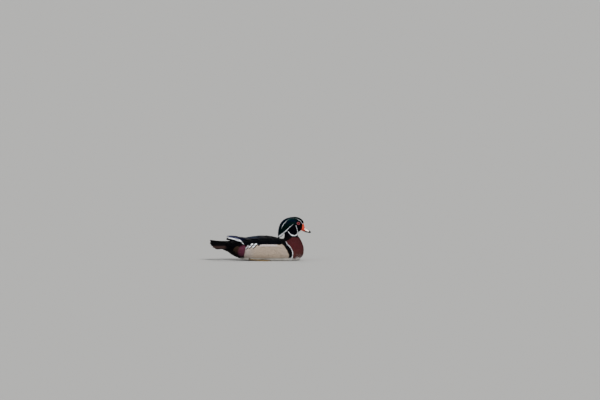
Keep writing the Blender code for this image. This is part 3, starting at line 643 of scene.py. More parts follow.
# Where one colour fades into the next, in x, z or distance from the middle plane.
FACE_FROM = (140, 168)
# the first pair: middle and reach of the painted teal highlight on the crest's side
HIGHLIGHT_AT, HIGHLIGHT_REACH = (117, 169), (2, 13)
HIND_NECK_BELOW, HIND_NECK_BEHIND = (96, 108), (100, 112)
CREST_LINE_GAP, CREST_LINE_CLEAR, CREST_LINE_LEAST = 134, ((9, 26), (20, 38)), 0.15
THROAT_ABOVE, THROAT_WITHIN, THROAT_BEFORE = (106, 110), (7.0, 9.0), (146, 150)
THROAT_TOP, THROAT_SLOPE, THROAT_TOP_AT = (123, 126), 0.75, 152
CHESTNUT_BELOW, BELLY_FRONT, BELLY_FRONT_AT, BELLY_FRONT_SLOPE = (22, 60), (8, 18), 155, 0.35
BACK_BLUE_ABOVE, BACK_BLUE_BEHIND, BACK_BLUE_OUT = (88, 98), (-10, 60), (4, 20)
FLANK_GREY_BEHIND, FLANK_GREY_BELOW, FLANK_BUFF_BEFORE = (15, 55), (44, 60), (70, 96)
BELLY_BELOW, BELLY_FROM, BELLY_TO = (6, 16), (-92, -72), (128, 140)
COLLAR, COLLAR_SLOPE, COLLAR_AT = (95.0, 97.5), 0.12, 138
WING_BLUE_ABOVE, WING_BLUE_BEHIND = (87, 97), (-30, 55)
# where the painted sheen along the upper edge of the back lies, and how strong it is
SHEEN_ABOVE, SHEEN_BEHIND, SHEEN_END, SHEEN_OUT, SHEEN_SHARE = (91, 96), (0, 30), (50, 90), (6, 20), 0.6


def painted_sheen(p):
    """A faint painted sheen along the upper edge of the back, not on its middle."""
    x, y, z = sides(p)
    lengthwise = ramp(-x, *SHEEN_BEHIND) * (1 - ramp(-x, *SHEEN_END))
    return SHEEN_SHARE * ramp(z, *SHEEN_ABOVE) * lengthwise * ramp(y, *SHEEN_OUT)


def head_tint(p):
    x, y, z = sides(p)
    # painted highlight: a brighter teal spot on the side of the crest
    teal_highlight = 1 - ramp(np.hypot(x - HIGHLIGHT_AT[0], z - HIGHLIGHT_AT[1]), *HIGHLIGHT_REACH)
    before, behind = CREST_LINE_CLEAR
    clear = ramp(x - CREST_LINE_GAP, *before) + ramp(CREST_LINE_GAP - x, *behind)
    throat = ramp(z, *THROAT_ABOVE) * (1 - ramp(y, *THROAT_WITHIN)) * ramp(x, *THROAT_BEFORE)
    throat = throat * (1 - ramp(z + (x - THROAT_TOP_AT) * THROAT_SLOPE, *THROAT_TOP))
    return paint(
        plain(x.shape, CROWN_GREEN, 0.55),
        (ramp(x, *FACE_FROM), FACE_DARK, 0.45),
        (teal_highlight * 0.7, CREST_HIGHLIGHT, 0.65),
        (stripe(p, CROWN_NAVY, 4.0) * 0.75, NAPE_BLUE, 0.5),
        (stripe(p, CREST_BACK, 4.0) * 0.9, NAPE_BLUE, 0.55),
        (inside(p, CHEEK, 2.5), CHEEK_PURPLE, 0.4),
        ((1 - ramp(z, *HIND_NECK_BELOW)) * ramp(x, *HIND_NECK_BEHIND), HIND_NECK, 0.4),
        (stripe(p, CREST_LINE) * (CREST_LINE_LEAST + (1 - CREST_LINE_LEAST) * clear), WHITE),
        *((stripe(p, line), WHITE) for line in (LOW_LINE, CHEEK_BAR, NECK_BAR)),
        (throat, WHITE),
    )


def body_tint(p):
    x, y, z = sides(p)
    back, flank = inside(p, BEHIND_BAR, 1.0), inside(p, FLANK, 1.2)
    blue = ramp(z, *BACK_BLUE_ABOVE) * ramp(-x, *BACK_BLUE_BEHIND) * ramp(y, *BACK_BLUE_OUT)
    belly = (1 - ramp(z, *BELLY_BELOW)) * ramp(x, *BELLY_FROM) * (1 - ramp(x, *BELLY_TO))
    return paint(
        plain(x.shape, BURGUNDY, 0.12),
        ((1 - ramp(z, *CHESTNUT_BELOW)) * 0.8, CHESTNUT, 0.05),
        (1 - ramp(z + BELLY_FRONT_SLOPE * np.abs(x - BELLY_FRONT_AT), *BELLY_FRONT), BELLY),
        (back, BACK_BLACK, 0.2),
        (back * blue * 0.4, WING_BLUE, 0.4),
        # painted sheen: teal along the upper edge of the back
        (back * painted_sheen(p), SHEEN_TEAL, 0.3),
        (flank, FLANK_TAN),
        (flank * ramp(-x, *FLANK_GREY_BEHIND) * (1 - ramp(z, *FLANK_GREY_BELOW)) * 0.7, FLANK_GREY),
        (flank * ramp(x, *FLANK_BUFF_BEFORE) * 0.7, FLANK_BUFF),
        (belly, BELLY),
        (inside(p, MAROON_PATCH, 6.5), MAROON, 0.15),
        (stripe(p, BREAST_BAR), WHITE),
    )


def neck_tint(p):
    """The head's markings down to the collar, and the body's below it."""
    collar = ramp(p[..., 2] + COLLAR_SLOPE * (p[..., 0] - COLLAR_AT), *COLLAR)[..., None]
    return body_tint(p) * (1 - collar) + head_tint(p) * collar


def wing_tint(p):
    x, _, z = sides(p)
    return paint(
        plain(x.shape, WING_BLACK, 0.2),
        (ramp(z, *WING_BLUE_ABOVE) * ramp(-x, *WING_BLUE_BEHIND) * 0.75, WING_BLUE, 0.5),
        (stripe(p, BLUE_BAR, 2.5) * 0.7, WING_BLUE, 0.5),
        # painted sheen: teal along the upper edge of the folded wing
        (painted_sheen(p), SHEEN_TEAL, 0.3),
        (stripe(p, VIOLET_BAR, 2.0) * 0.85, WING_VIOLET, 0.3),
        (stripe(p, WING_BAND, 0.6), WHITE),
    )


# Materials.
BUMP_DISTANCE = 0.0003


class Nodes:
    """Short calls for building a material's nodes."""

    def __init__(self, name):
        self.material = bpy.data.materials.new(name)
        self.material.use_nodes = True
        self.tree = self.material.node_tree
        self.shader = self.tree.nodes["Principled BSDF"]

    def put(self, socket, value):
        if isinstance(value, bpy.types.NodeSocket):
            self.tree.links.new(value, socket)
        else:
            socket.default_value = value

    def node(self, kind, *inputs, **settings):
        made = self.tree.nodes.new("ShaderNode" + kind)
        for key, value in settings.items():
            setattr(made, key, value)
        for socket, value in zip(made.inputs, inputs):
            if value is not None:
                self.put(socket, value)
        return made

    def math(self, operation, *inputs, clamp=False):
        return self.node("Math", *inputs, operation=operation, use_clamp=clamp).outputs[0]

    def scale(self, colour, factor):
        return self.node("VectorMath", colour, None, None, factor, operation="SCALE").outputs[0]

    def fill(self, made, **sockets):
        for name, value in sockets.items():
            self.put(made.inputs[name.replace("_", " ")], value)
        return made.outputs[0]

    def set(self, **sockets):
        self.fill(self.shader, **sockets)

    def noise(self, vector, scale, detail=2.0, rough=0.5):
        return self.fill(self.node("TexNoise"), Vector=vector, Scale=scale, Detail=detail, Roughness=rough)

    def bump(self, height, strength):
        relief = self.fill(self.node("Bump"), Strength=strength, Distance=BUMP_DISTANCE, Height=height)
        self.set(Normal=relief)

    def tint(self):
        return self.node("Attribute", attribute_name="tint")

    def stray(self, noise, amount, about):
        """A shade that strays from another by a noise."""
        return self.math("MULTIPLY_ADD", self.math("SUBTRACT", noise, 0.5), amount, about)


EDGE_TINT = (0.15, 0.16, 0.22, 1.0)  # keeps dark feathers dark where they are seen edge on
EDGE_SHINE, SHEEN_ROUGH = 0.07, 0.4
BARB_LEAN = 1.15  # how far a barb runs along its feather for each step across it
STREAK_FINE, STREAK_WIDE = 9.0, 1.4
RIDGES, RIDGE_HEIGHT = 140.0, 0.12
WAVES, WAVE_WANDER = 62.0, 9.0  # fine lines across a feather
QUILL_HALF = 0.035
CLEAR_COAT_IOR = 1.38


def feather_material(name, barbs, rough, shaft=0.0, fine=0.0, sheen=0.0, streak=0.3):
    """Barbed vanes: streaks and ridges along the barbs, a shaft, and fine wavy cross lines where asked.

    Rough holds the roughness without gloss and with full gloss.
    """
    n = Nodes(name)
    tint = n.tint()
    uv = n.node("UVMap", uv_map="vane").outputs[0]
    split = n.node("SeparateXYZ", uv)
    across = n.math("ABSOLUTE", split.outputs[0])
    barb = n.math("MULTIPLY_ADD", across, BARB_LEAN, split.outputs[1])
    along_barbs = n.math("MULTIPLY", barb, STREAK_FINE)
    lean = n.node("CombineXYZ", along_barbs, n.math("MULTIPLY", split.outputs[0], STREAK_WIDE), 0.0)
    streaks = n.noise(lean.outputs[0], 1.6, 3.0, 0.6)
    shade = n.stray(streaks, streak * 2, 1.0)
    shade = n.stray(n.noise(uv, 2.0, 2.0), 0.35, shade)
    if fine:
        evenly_spaced = n.math("MULTIPLY", split.outputs[1], WAVES)
        wave = n.math("SINE", n.math("MULTIPLY_ADD", n.noise(uv, 5.0, 2.0), WAVE_WANDER, evenly_spaced))
        broken = n.math("MULTIPLY_ADD", n.noise(uv, 9.0, 1.0), 1.6, -0.25, clamp=True)
        lines = n.math("MULTIPLY", n.math("MULTIPLY_ADD", wave, 1.2, -0.25, clamp=True), broken)
        shade = n.math("MULTIPLY_ADD", lines, -fine, shade)
    if shaft:
        shade = n.math("MULTIPLY_ADD", n.math("LESS_THAN", across, QUILL_HALF), shaft, shade)
    gloss = tint.outputs["Alpha"]
    n.set(Base_Color=n.scale(tint.outputs["Color"], shade), Metallic=gloss,
          Roughness=n.math("MULTIPLY_ADD", gloss, rough[1] - rough[0], rough[0]), Sheen_Weight=sheen,
          Sheen_Roughness=SHEEN_ROUGH, Specular_IOR_Level=EDGE_SHINE, Specular_Tint=EDGE_TINT)
    ridge = n.math("SINE", n.math("MULTIPLY", barb, RIDGES))
    n.bump(n.math("MULTIPLY_ADD", ridge, RIDGE_HEIGHT, streaks), barbs)
    return n.material


def plain_material(name, rough, coat=0.0, grain=0.12, scale=900.0, bump=0.15, coat_rough=0.12, specular=0.3):
    """A tinted surface with fine grain in its colour and relief."""
    n = Nodes(name)
    tint = n.tint()
    where = n.node("TexCoord").outputs["Object"]
    spots, broad = n.noise(where, scale, 3.0, 0.6), n.noise(where, scale * 0.12, 2.0)
    shade = n.stray(broad, grain * 2, n.stray(spots, grain * 2, 1.0))
    n.set(Base_Color=n.scale(tint.outputs["Color"], shade),
          Roughness=n.math("MULTIPLY_ADD", broad, 0.16, rough - 0.08), Coat_Weight=coat,
          Coat_Roughness=coat_rough, Coat_IOR=CLEAR_COAT_IOR, Specular_IOR_Level=specular)
    n.bump(spots, bump)
    return n.material


def make_floor():
    corners = np.array([(-1, -1, 0), (1, -1, 0), (1, 1, 0), (-1, 1, 0)]) * FLOOR_HALF
    floor = build_mesh("floor", corners / MM, [np.arange(4)[None, :]])
    n = Nodes("floor")
    n.set(Base_Color=FLOOR_GREY, Roughness=FLOOR_ROUGH)
    floor.data.materials.append(n.material)


make_floor()


# Skin.
FACE_END = 0.62  # row at which the head ends and the bill stands out of it
FACE_DRAWN_IN = 2.0  # how far the bare skin there closes in towards the bill
BARE_EDGE = (
    (174, 152.2, 0.4), (172.1, 150, 0.45), (171.9, 140, 0.5), (170.9, 131, 0.5), (168.1, 124.6, 0.5),
)
BILL_BARE = (
    (171.8, 150.8), (176.5, 152.4), (182, 153), (200, 153), (200, 110), (164, 110), (164, 120), (168, 124.5),
    (170.6, 131), (171.6, 140),
)
BILL_RED = srgb(174, 42, 21)
BORDER_YELLOW = srgb(167, 93, 39)
BARE_ARCH, BARE_ARCH_HALF = 1.8, 9.0
DEPTH = ((0, 0.5), (3, 0.9), (9, 1.3), (12, 2.2), (16, 3.5), (22, 3), (26, 2))  # row and depth of the coat
FACE_FULL = 1.8  # row at which the skin is no longer drawn in
SKIN_END, SKIN_GRID, SKIN_LOWEST = 26, (260, 120), 0.8
CREST_CORE_END, CREST_CORE_GRID, CREST_SUNK = 8.5, (60, 40), (2.0, 0.25)  # depth, and how it grows by row
TUCK_FROM, TUCK_TO = (12.4, 13.8), (20.2, 21.6)  # rows
TUCK_ABOVE, TUCK_BELOW = (6.0, 22.0), (60.0, 72.0)  # degrees from the upper edge
WING_CORE_ALONG, WING_CORE_ACROSS = (0.02, 0.6, 24), (0.03, 0.97, 12)  # from, to, count
WING_CORE_SUNK, WING_CORE_THICK, WING_CORE_THINNED = 1.2, 5.0, 3.0


def bill_bare(p, soft):
    """1 on the bare skin at the base of the bill, which runs up to a round point on the forehead."""
    p = np.array(p)
    p[..., 2] -= BARE_ARCH * (1 - (p[..., 1] / BARE_ARCH_HALF) ** 2).clip(-1, 1)
    return inside(p, BILL_BARE, soft)


def coat_depth(s):
    return np.interp(s, *zip(*DEPTH))


def wing_tuck(s, a):
    """How far the skin is drawn in under the folded wing."""
    turn = np.degrees(np.abs((a + np.pi) % (2 * np.pi) - np.pi))
    lengthwise = ramp(s, *TUCK_FROM) * (1 - ramp(s, *TUCK_TO))
    return WING_TUCK * lengthwise * ramp(turn, *TUCK_ABOVE) * (1 - ramp(turn, *TUCK_BELOW))


def skin_depth(s, a):
    return coat_depth(s) + wing_tuck(s, a) + FACE_DRAWN_IN * (1 - ramp(s, FACE_END, FACE_FULL))


def crest_depth(s, a):
    return CREST_SUNK[0] + CREST_SUNK[1] * s


def loft(name, form, rows, grid, depth, lowest=-np.inf):
    """A closed skin of a form, sunk by depth(s, a), with flat ends."""
    s, a = np.meshgrid(np.linspace(*rows, grid[0]), circle(grid[1]), indexing="ij")
    p, _, _, normal = form.frame(s, a)
    p = p - normal * depth(s, a)[..., None]
    p[..., 2] = np.maximum(p[..., 2], lowest)
    return solid(name, p)


def join_solids(obj, others):
    """Fuses closed meshes into obj and uses them up."""
    group = bpy.data.collections.new("operands")
    for other in others:
        bpy.context.scene.collection.objects.unlink(other)
        group.objects.link(other)
    modifier = obj.modifiers.new("union", "BOOLEAN")
    modifier.operation, modifier.operand_type, modifier.collection = "UNION", "COLLECTION", group
    modifier.solver = "MANIFOLD"
    graph = bpy.context.evaluated_depsgraph_get()
    made = bpy.data.meshes.new_from_object(obj.evaluated_get(graph))
    obj.modifiers.clear()
    obj.data = made
    for other in others:
        bpy.data.objects.remove(other)
    bpy.data.collections.remove(group)


def wing_core(side):
    """A thick body of the folded wing, under its feathers."""
    s, v = np.meshgrid(np.linspace(*WING_CORE_ALONG), np.linspace(*WING_CORE_ACROSS), indexing="ij")
    outer, _, _, normal = WINGS[side].frame(s, v)
    depth = WING_CORE_THICK - WING_CORE_THINNED * (2 * v - 1) ** 2
    outer = outer - normal * WING_CORE_SUNK
    inner = outer - normal * depth[..., None]
    rows, columns = s.shape
    count = rows * columns
    top = grid_faces(rows, columns)
    rim = [*range(columns), *range(2 * columns - 1, count, columns)]
    rim += [*range(count - 2, count - columns - 1, -1), *range(count - 2 * columns, 0, -columns)]
    edge = np.array([(b, a, a + count, b + count) for a, b in zip(rim, rim[1:] + rim[:1])])
    points = np.concatenate([outer.reshape(-1, 3), inner.reshape(-1, 3)])
    return solid("core", points, [top, top[:, ::-1] + count, edge])


def make_skin():
    skin = loft("skin", BODY_FORM, (FACE_END, SKIN_END), SKIN_GRID, skin_depth, SKIN_LOWEST)
    core = loft("core", CREST_FORM, (0, CREST_CORE_END), CREST_CORE_GRID, crest_depth)
    join_solids(skin, [core, *(wing_core(side) for side in (LEFT, RIGHT))])
    p = vertices(skin)
    tint = paint(neck_tint(p), (bill_bare(p, 0.5), BILL_RED), (stripe(p, BARE_EDGE, 0.4), BORDER_YELLOW))
    dress(skin, tint, plain_material("skin", 0.75, specular=0.1), "body_plumage",
          "torso", "neck", "head", "wing_left", "wing_right")
    skin.data.shade_smooth()


make_skin()


# Small feathers of head, neck and body.
SIZES = (  # row, length, width, spacing
    (0, 1.9, 0.85, 0.68), (1, 2.6, 1.05, 0.84), (3, 4, 1.4, 1.07), (6, 5, 1.7, 1.27), (9, 6.5, 2.4, 1.65),
    (11, 9, 3.8, 2.5), (13, 12.5, 5.8, 3.5), (16, 15, 7, 4.4), (22, 15, 6.2, 3.9), (26, 13, 5, 3.2),
)
# Vanes: shares of the length, width at each, columns.
SMALL = ((0, 0.35, 0.75, 1), (0.6, 0.95, 1, 0.35), 3)
BODY_VANE = ((0, 0.25, 0.5, 0.72, 0.88, 1), (0.5, 0.85, 1, 0.98, 0.75, 0.28), 5)
BROAD_VANE = (
    (0, 0.15, 0.3, 0.45, 0.6, 0.72, 0.82, 0.91, 0.97, 1),
    (0.4, 0.7, 0.88, 0.97, 1, 1, 0.95, 0.78, 0.5, 0.22), 7,
)
EYE_AT = (155.8, 14.8, 152.9)
EYE_CLEAR = 6.2  # no feather comes nearer to the middle of the eye than this
FACE_ROWS = 8  # coats that start before this row keep clear of the bare places
BODY_CAMBER, BODY_MOTTLE = 0.14, (0.08, 0.25)
SIZE_VARIES, TURN_VARIES, LIFT_VARIES, BOW_VARIES, TEAR_VARIES = 0.08, 0.10, 0.05, 0.05, 0.035
WIDE_VARY_MORE, FRAY_MOST = 0.2, 0.25
LIFT_CURVE = 0.8  # below 1, a feather rises faster near its root
BODY_LOWEST, BODY_LOWEST_SPREAD = 0.15, (0.5, 0.3, 1)  # millimetres over the floor; factor and its range
SPECKS_BELOW = (6, 33)


def size_of(s, column):
    rows = np.array(SIZES)
    return np.interp(s, rows[:, 0], rows[:, column])


def bare(p):
    """True round the eye and at the base of the bill."""
    eye = np.hypot(p[..., 0] - EYE_AT[0], p[..., 2] - EYE_AT[2]) < EYE_CLEAR
    return eye | (bill_bare(p, 0.1) > 0.5)


def speckle(colour, p, share, draw):
    """White ends on some feathers, more of them lower on the breast; p holds the places of the tips."""
    middle = colour.shape[2] // 2
    chance = (1 - ramp(p[:, 2], *SPECKS_BELOW)) * share * (1 - inside(p, BEHIND_BAR, 1.0))
    for index in np.nonzero(draw.uniform(0, 1, len(p)) < chance)[0]:
        colour[index, -1, middle - 1:middle + 2] = colour[index, -2, middle] = (*WHITE, 0.0)


def body_coat(name, seed, rows, degrees, tint, material, slot="body_plumage", kind=BODY_VANE, root=0.55,
              tip=0.3, roll=0.08, ragged=0.35, gather=0.5, specks=0.0, scale=1.0):
    """Small feathers spread over part of the body, following its flow from bill to tail.

    Roots lie at a share of the coat's depth and tips stand a little over its surface. Gather says how much
    of a feather's colour is that of the place of its tip.
    """
    marks, outline, columns = kind
    coat = Coat(name, seed)
    draw = coat.draw
    s, a = scatter(BODY_FORM, rows, np.radians(degrees), lambda s: size_of(s, 3) * scale, draw)
    length = size_of(s, 1) * scale * varied(draw, SIZE_VARIES, len(s))
    shafts = grow(BODY_FORM, s, a, length, draw.normal(0, TURN_VARIES, len(s)), marks)
    if rows[0] < FACE_ROWS:
        clear = ~bare(shafts[0]).any(1)
        s, a, length, shafts = s[clear], a[clear], length[clear], [part[clear] for part in shafts]
    count = len(s)
    width = size_of(s, 2) * scale * varied(draw, SIZE_VARIES, count)
    low = -coat_depth(s) * root
    high = tip + draw.normal(0, LIFT_VARIES, count) * (1 + WIDE_VARY_MORE * width)
    t = np.asarray(marks)[None, :]
    lifts = low[:, None] + (high - low)[:, None] * t ** LIFT_CURVE
    fray = draw.uniform(0, FRAY_MOST, (count, len(marks), columns))
    tear = draw.normal(0, TEAR_VARIES, (count, columns)) * length[:, None]
    grid = blades(shafts, width, outline, columns, lifts, BODY_CAMBER, draw.normal(0, roll, count),
                  draw.normal(0, BOW_VARIES, count) * length, fray, tear)
    most, *spread = BODY_LOWEST_SPREAD
    spread = most * t[..., None] * draw.uniform(*spread, (count, 1, 1))
    grid[..., 2] = np.maximum(grid[..., 2], BODY_LOWEST + spread)
    middle = columns // 2
    where = grid + (grid[:, -2:-1, middle:middle + 1] - grid) * gather
    colour = tint(where + draw.normal(0, ragged, (count, 1, 1, 3)))
    if specks:
        speckle(colour, shafts[0][:, -1], specks, draw)
    colour = mottled(colour, draw, *BODY_MOTTLE)
    coat.add(grid, colour, width, length, marks, BODY_FORM.patch(s, a))
    coat.build(material, slot)


SILKY = feather_material("silky", 0.15, (0.5, 0.3), streak=0.25)
SOFT = feather_material("soft", 0.25, (0.65, 0.4), sheen=0.03)
FLANK_SOFT = feather_material("vermiculated", 0.25, (0.65, 0.4), fine=0.5, sheen=0.05, streak=0.25)
STIFF = feather_material("stiff", 0.4, (0.5, 0.3), shaft=-0.35, streak=0.4)
ALL_ROUND = (-180, 180)


def make_body_coats():
    """Each coat takes a name, a seed, rows and degrees of the body."""
    body_coat("head_feathers", 11, (FACE_END, 8.8), ALL_ROUND, neck_tint, SILKY, "head_plumage", SMALL,
              root=0.85, tip=0.25, ragged=0.22, roll=0.15)
    body_coat("neck_feathers", 12, (8.3, 12.0), ALL_ROUND, neck_tint, SOFT, "neck_plumage", root=0.7,
              specks=0.2)
    body_coat("breast_feathers", 13, (11.6, 15.2), (30, 330), neck_tint, SOFT, specks=0.4, gather=0.3,
              ragged=0.5, scale=0.66)
    body_coat("belly_feathers", 14, (14.8, 21.5), (112, 248), body_tint, SOFT, scale=0.85)
    body_coat("back_feathers", 15, (11.6, 20.5), (-26, 26), body_tint, STIFF, kind=BROAD_VANE)
    body_coat("rump_feathers", 16, (18.8, 26.0), ALL_ROUND, body_tint, STIFF, "tail_feathers", BROAD_VANE,
              tip=0.5)


make_body_coats()


# Crest.
PLUME = ((0, 0.14, 0.28, 0.42, 0.56, 0.7, 0.85, 1), (0.5, 0.8, 0.95, 1, 0.95, 0.8, 0.55, 0.15), 3)
CREST_LAYERS = (  # seed, spacing, lift of the tips, share of the length
    (21, 1.75, -0.2, 1), (22, 2.6, -2.2, 0.75),
)
CREST_SEED = 21
CREST_ROWS, CREST_ENDS_AT = (0.3, 8.8), 10.35
CREST_SPACING, CREST_WIDTH = ((0, 4, 9), (1, 1, 0.6)), ((0, 5, 9), (1, 1, 0.6))  # factors by row
PLUME_LENGTH, PLUME_WIDTH, PLUME_ROOT = (20, 36), (1.7, 2.5), -1.7  # from, to; lift of the roots
PLUME_SHORTEST, PLUME_PAST_END = 4, (-2, 2.5)
PLUME_CAMBER, PLUME_FRAY, PLUME_RAGGED, PLUME_MOTTLE = 0.25, 0.3, 0.3, (0.12, 0.3)
PLUME_TURN, PLUME_LIFT, PLUME_ROLL, PLUME_BOW = 0.06, 0.3, 0.2, 0.03  # how much each varies


def make_crest():
    """Long narrow plumes in layers."""
    marks, outline, columns = PLUME
    coat = Coat("crest_feathers", CREST_SEED)
    for seed, gap, raised, share in CREST_LAYERS:
        draw = np.random.default_rng(seed)
        s, a = scatter(CREST_FORM, CREST_ROWS, (-np.pi, np.pi),
                       lambda s: gap * np.interp(s, *CREST_SPACING), draw)
        count = len(s)
        left = (CREST_ENDS_AT - s) * np.linalg.norm(CREST_FORM.frame(s, a)[1], axis=-1)
        length = draw.uniform(*PLUME_LENGTH, count) * share
        length = np.minimum(length, left + draw.uniform(*PLUME_PAST_END, count)).clip(PLUME_SHORTEST, None)
        width = draw.uniform(*PLUME_WIDTH, count) * np.interp(s, *CREST_WIDTH)
        shafts = grow(CREST_FORM, s, a, length, draw.normal(0, PLUME_TURN, count), marks)
        tip = raised + draw.normal(0, PLUME_LIFT, count)
        lifts = PLUME_ROOT + (tip - PLUME_ROOT)[:, None] * np.asarray(marks)[None, :]
        fray = draw.uniform(0, PLUME_FRAY, (count, len(marks), columns))
        grid = blades(shafts, width, outline, columns, lifts, PLUME_CAMBER, draw.normal(0, PLUME_ROLL, count),
                      draw.normal(0, PLUME_BOW, count) * length, fray)
        colour = head_tint(grid + draw.normal(0, PLUME_RAGGED, (count, 1, 1, 3)))
        colour = mottled(colour, draw, *PLUME_MOTTLE)
        coat.add(grid, colour, width, length, marks, CREST_FORM.patch(s, a))
    coat.build(SILKY, "head_plumage")


make_crest()


# Larger feathers laid between two places.
LAID_LOWEST, LAID_RAGGED, LAID_MOTTLE_MOST = 0.3, 0.3, 0.2
LAID_LIFT, LAID_WIDTH, LAID_ROLL, LAID_BOW = 0.08, 0.03, 0.02, 0.01  # how much each varies
EVENLY_COUNT = 400
LOCATE_ROWS, LOCATE_DEGREES = (8, 26, 700), (5, 175, 500)  # from, to, count


def vane(marks, shares, widths, columns):
    """A vane with many marks, whose widths are given at a few of them."""
    return marks, np.interp(marks, shares, widths), columns


def span(form, roots, tips, marks):
    """Shafts over a form from roots to tips, straight in the form's own coordinates."""
    t = np.asarray(marks)[None, :]
    s, a = (start[:, None] + (end - start)[:, None] * t for start, end in zip(roots.T, tips.T))
    p, _, _, normal = form.frame(s, a)
    return p, normal, unit(np.cross(normal, unit(np.gradient(p, axis=1))))


def lay_feathers(coat, form, roots, tips, width, lifts, kind, tint, camber=0.14, roll=0.0, bow=0.0, fray=0.10,
                 decorate=None, tear=0.012, mottle=0.07):
    """Adds feathers between roots and tips, tinted by where they lie and then by decorate."""
    marks, outline, columns = kind
    draw, count = coat.draw, len(roots)
    roots, tips = np.asarray(roots, float), np.asarray(tips, float)
    shafts = span(form, roots, tips, marks)
    length = np.linalg.norm(np.diff(shafts[0], axis=1), axis=-1).sum(1)
    t = np.asarray(marks)[None, :]
    lifts = np.broadcast_to(np.asarray(lifts, float), (count, 2))
    rise = lifts[:, :1] + (lifts[:, 1:] - lifts[:, :1]) * t + draw.normal(0, LAID_LIFT, (count, 1)) * t
    frays = draw.uniform(0, fray, (count, len(marks), columns))
    width = width * draw.normal(1, LAID_WIDTH, count)
    roll = roll + draw.normal(0, LAID_ROLL, count)
    bow = bow * length + draw.normal(0, LAID_BOW, count) * length
    tears = draw.normal(0, tear, (count, columns)) * length[:, None]
    grid = blades(shafts, width, outline, columns, rise, camber, roll, bow, frays, tears)
    grid[..., 2] = np.maximum(grid[..., 2], LAID_LOWEST)
    colour = tint(grid + draw.normal(0, LAID_RAGGED, (count, 1, 1, 3)))
    if decorate:
        colour = decorate(colour, grid, t[..., None], np.linspace(-1, 1, columns)[None, None, :])
    colour = mottled(colour, draw, mottle, LAID_MOTTLE_MOST)
    coat.add(grid, colour, width, length, marks, form.patch(*roots.T))


def evenly(form, a, first, last, step):
    """Rows between two rows of a form at an angle, a step apart in millimetres."""
    s = np.linspace(first, last, EVENLY_COUNT)
    run = run_along(form.point(s, np.full(EVENLY_COUNT, a)))
    return np.interp(np.arange(0, run[-1], step), run, s)


def locate(side, x, z):
    """Row and angle of the body's surface where it is seen at x and z from one side."""
    s, a = np.meshgrid(np.linspace(*LOCATE_ROWS), np.radians(np.linspace(*LOCATE_DEGREES)), indexing="ij")
    p = BODY_FORM.point(s, a)
    nearest = [np.argmin(np.hypot(p[..., 0] - u, p[..., 2] - w)) for u, w in zip(x, z)]
    return np.stack([s.flat[nearest], side * a.flat[nearest]], 1)


# Flanks.
FLANK_ROWS = (  # degrees at the roots and tips, first and last row, lift at the tips
    (126, 122, 13.6, 18.4, 0.4), (119, 115, 13.3, 18.6, 0.4), (112, 108, 13.1, 18.7, 0.5),
    (105, 101, 13, 18.7, 0.6), (98, 94, 12.9, 18.7, 0.8), (91, 87, 12.9, 18.6, 1), (84, 80, 12.9, 18.2, 1.4),
    (78, 73, 12.9, 17.6, 2), (73, 67.5, 13, 17, 2.8),
)
FLANK_SEED = 31
FLANK_STEP, FLANK_LENGTH, FLANK_WIDTH = 5.5, 24.0, 11.0
BARRED = (  # root x and z, tip x and z, width, lift of the tip
    (-4, 49, -23, 72, 12.5, 5.6), (-12.5, 41, -31.5, 64, 11.5, 5.4), (-19.5, 48.5, -38.5, 71.5, 12.5, 4.6),
    (-28, 40.5, -47, 63.5, 11.5, 4.2), (-36, 44.5, -53.5, 66, 11, 3.6), (-44, 38, -60.5, 58.5, 9, 3.1),
)
BAR_GREY = srgb(170, 164, 170)
PALE_EDGE = srgb(222, 212, 224)
BARS = ((0.54, 0.69, BACK_BLACK), (0.69, 0.84, WHITE), (0.84, 1.2, BACK_BLACK))  # from, to
BAR_SOFT, BAR_ARCH = 0.012, 0.035
BARS_GREY_BEHIND, PALE_BEHIND, PALE_FROM = (40, 54), (-80, -60), (0.7, 0.9)
TAN_ABOVE, TAN_FROM, TAN_TO = (58, 62), (-84, -72), (50, 60)
FLANK_SUNK, BARRED_SUNK = 1.6, -1.0
FLANK_ROOTS_VARY, FLANK_TIPS_VARY = 0.02, (0.03, 0.012)
FLANK_STARTS, FLANK_ALL_BEHIND = (3.0, 0.3), 60  # softness and limit of its outline; x
SHARES = np.linspace(0, 1, 26) ** 0.8
FINE_VANE = vane(SHARES, (0, 0.2, 0.5, 0.8, 0.9, 0.96, 1), (0.4, 0.8, 1, 0.95, 0.8, 0.55, 0.2), 9)


def pale_tips(colour, grid, t, column):
    """A thin pale edge at the tips of the upper row."""
    return paint(colour, (ramp(t, *PALE_FROM) * ramp(-grid[..., 0], *PALE_BEHIND) * 0.4, PALE_EDGE))


def barred_tips(colour, grid, t, column):
    """Black, white and black again across the tips."""
    t = t - BAR_ARCH * (1 - column**2) + np.zeros(grid.shape[:3])
    grey = ramp(-grid[..., 0], *BARS_GREY_BEHIND)
    for start, end, shade in BARS:
        band = ramp(t, start - BAR_SOFT, start + BAR_SOFT) * (1 - ramp(t, end - BAR_SOFT, end + BAR_SOFT))
        colour = paint(colour, (band, shade))
        if shade is WHITE:
            colour = paint(colour, (band * grey, BAR_GREY))
    return colour


def flank_tint(p):
    """The body's markings, but tan wherever a flank feather starts high under the wing."""
    x, _, z = sides(p)
    high = ramp(z, *TAN_ABOVE) * ramp(-x, *TAN_FROM) * (1 - ramp(-x, *TAN_TO))
    return paint(body_tint(p), (high, FLANK_TAN))


def starts_on_flank(s, a):
    """Whether a root lies behind the front edge of the pale flank, where the small feathers end."""
    p = BODY_FORM.point(s, np.full(len(s), a))
    soft, limit = FLANK_STARTS
    return (inside(p, FLANK, soft) > limit) | (p[:, 0] < FLANK_ALL_BEHIND)


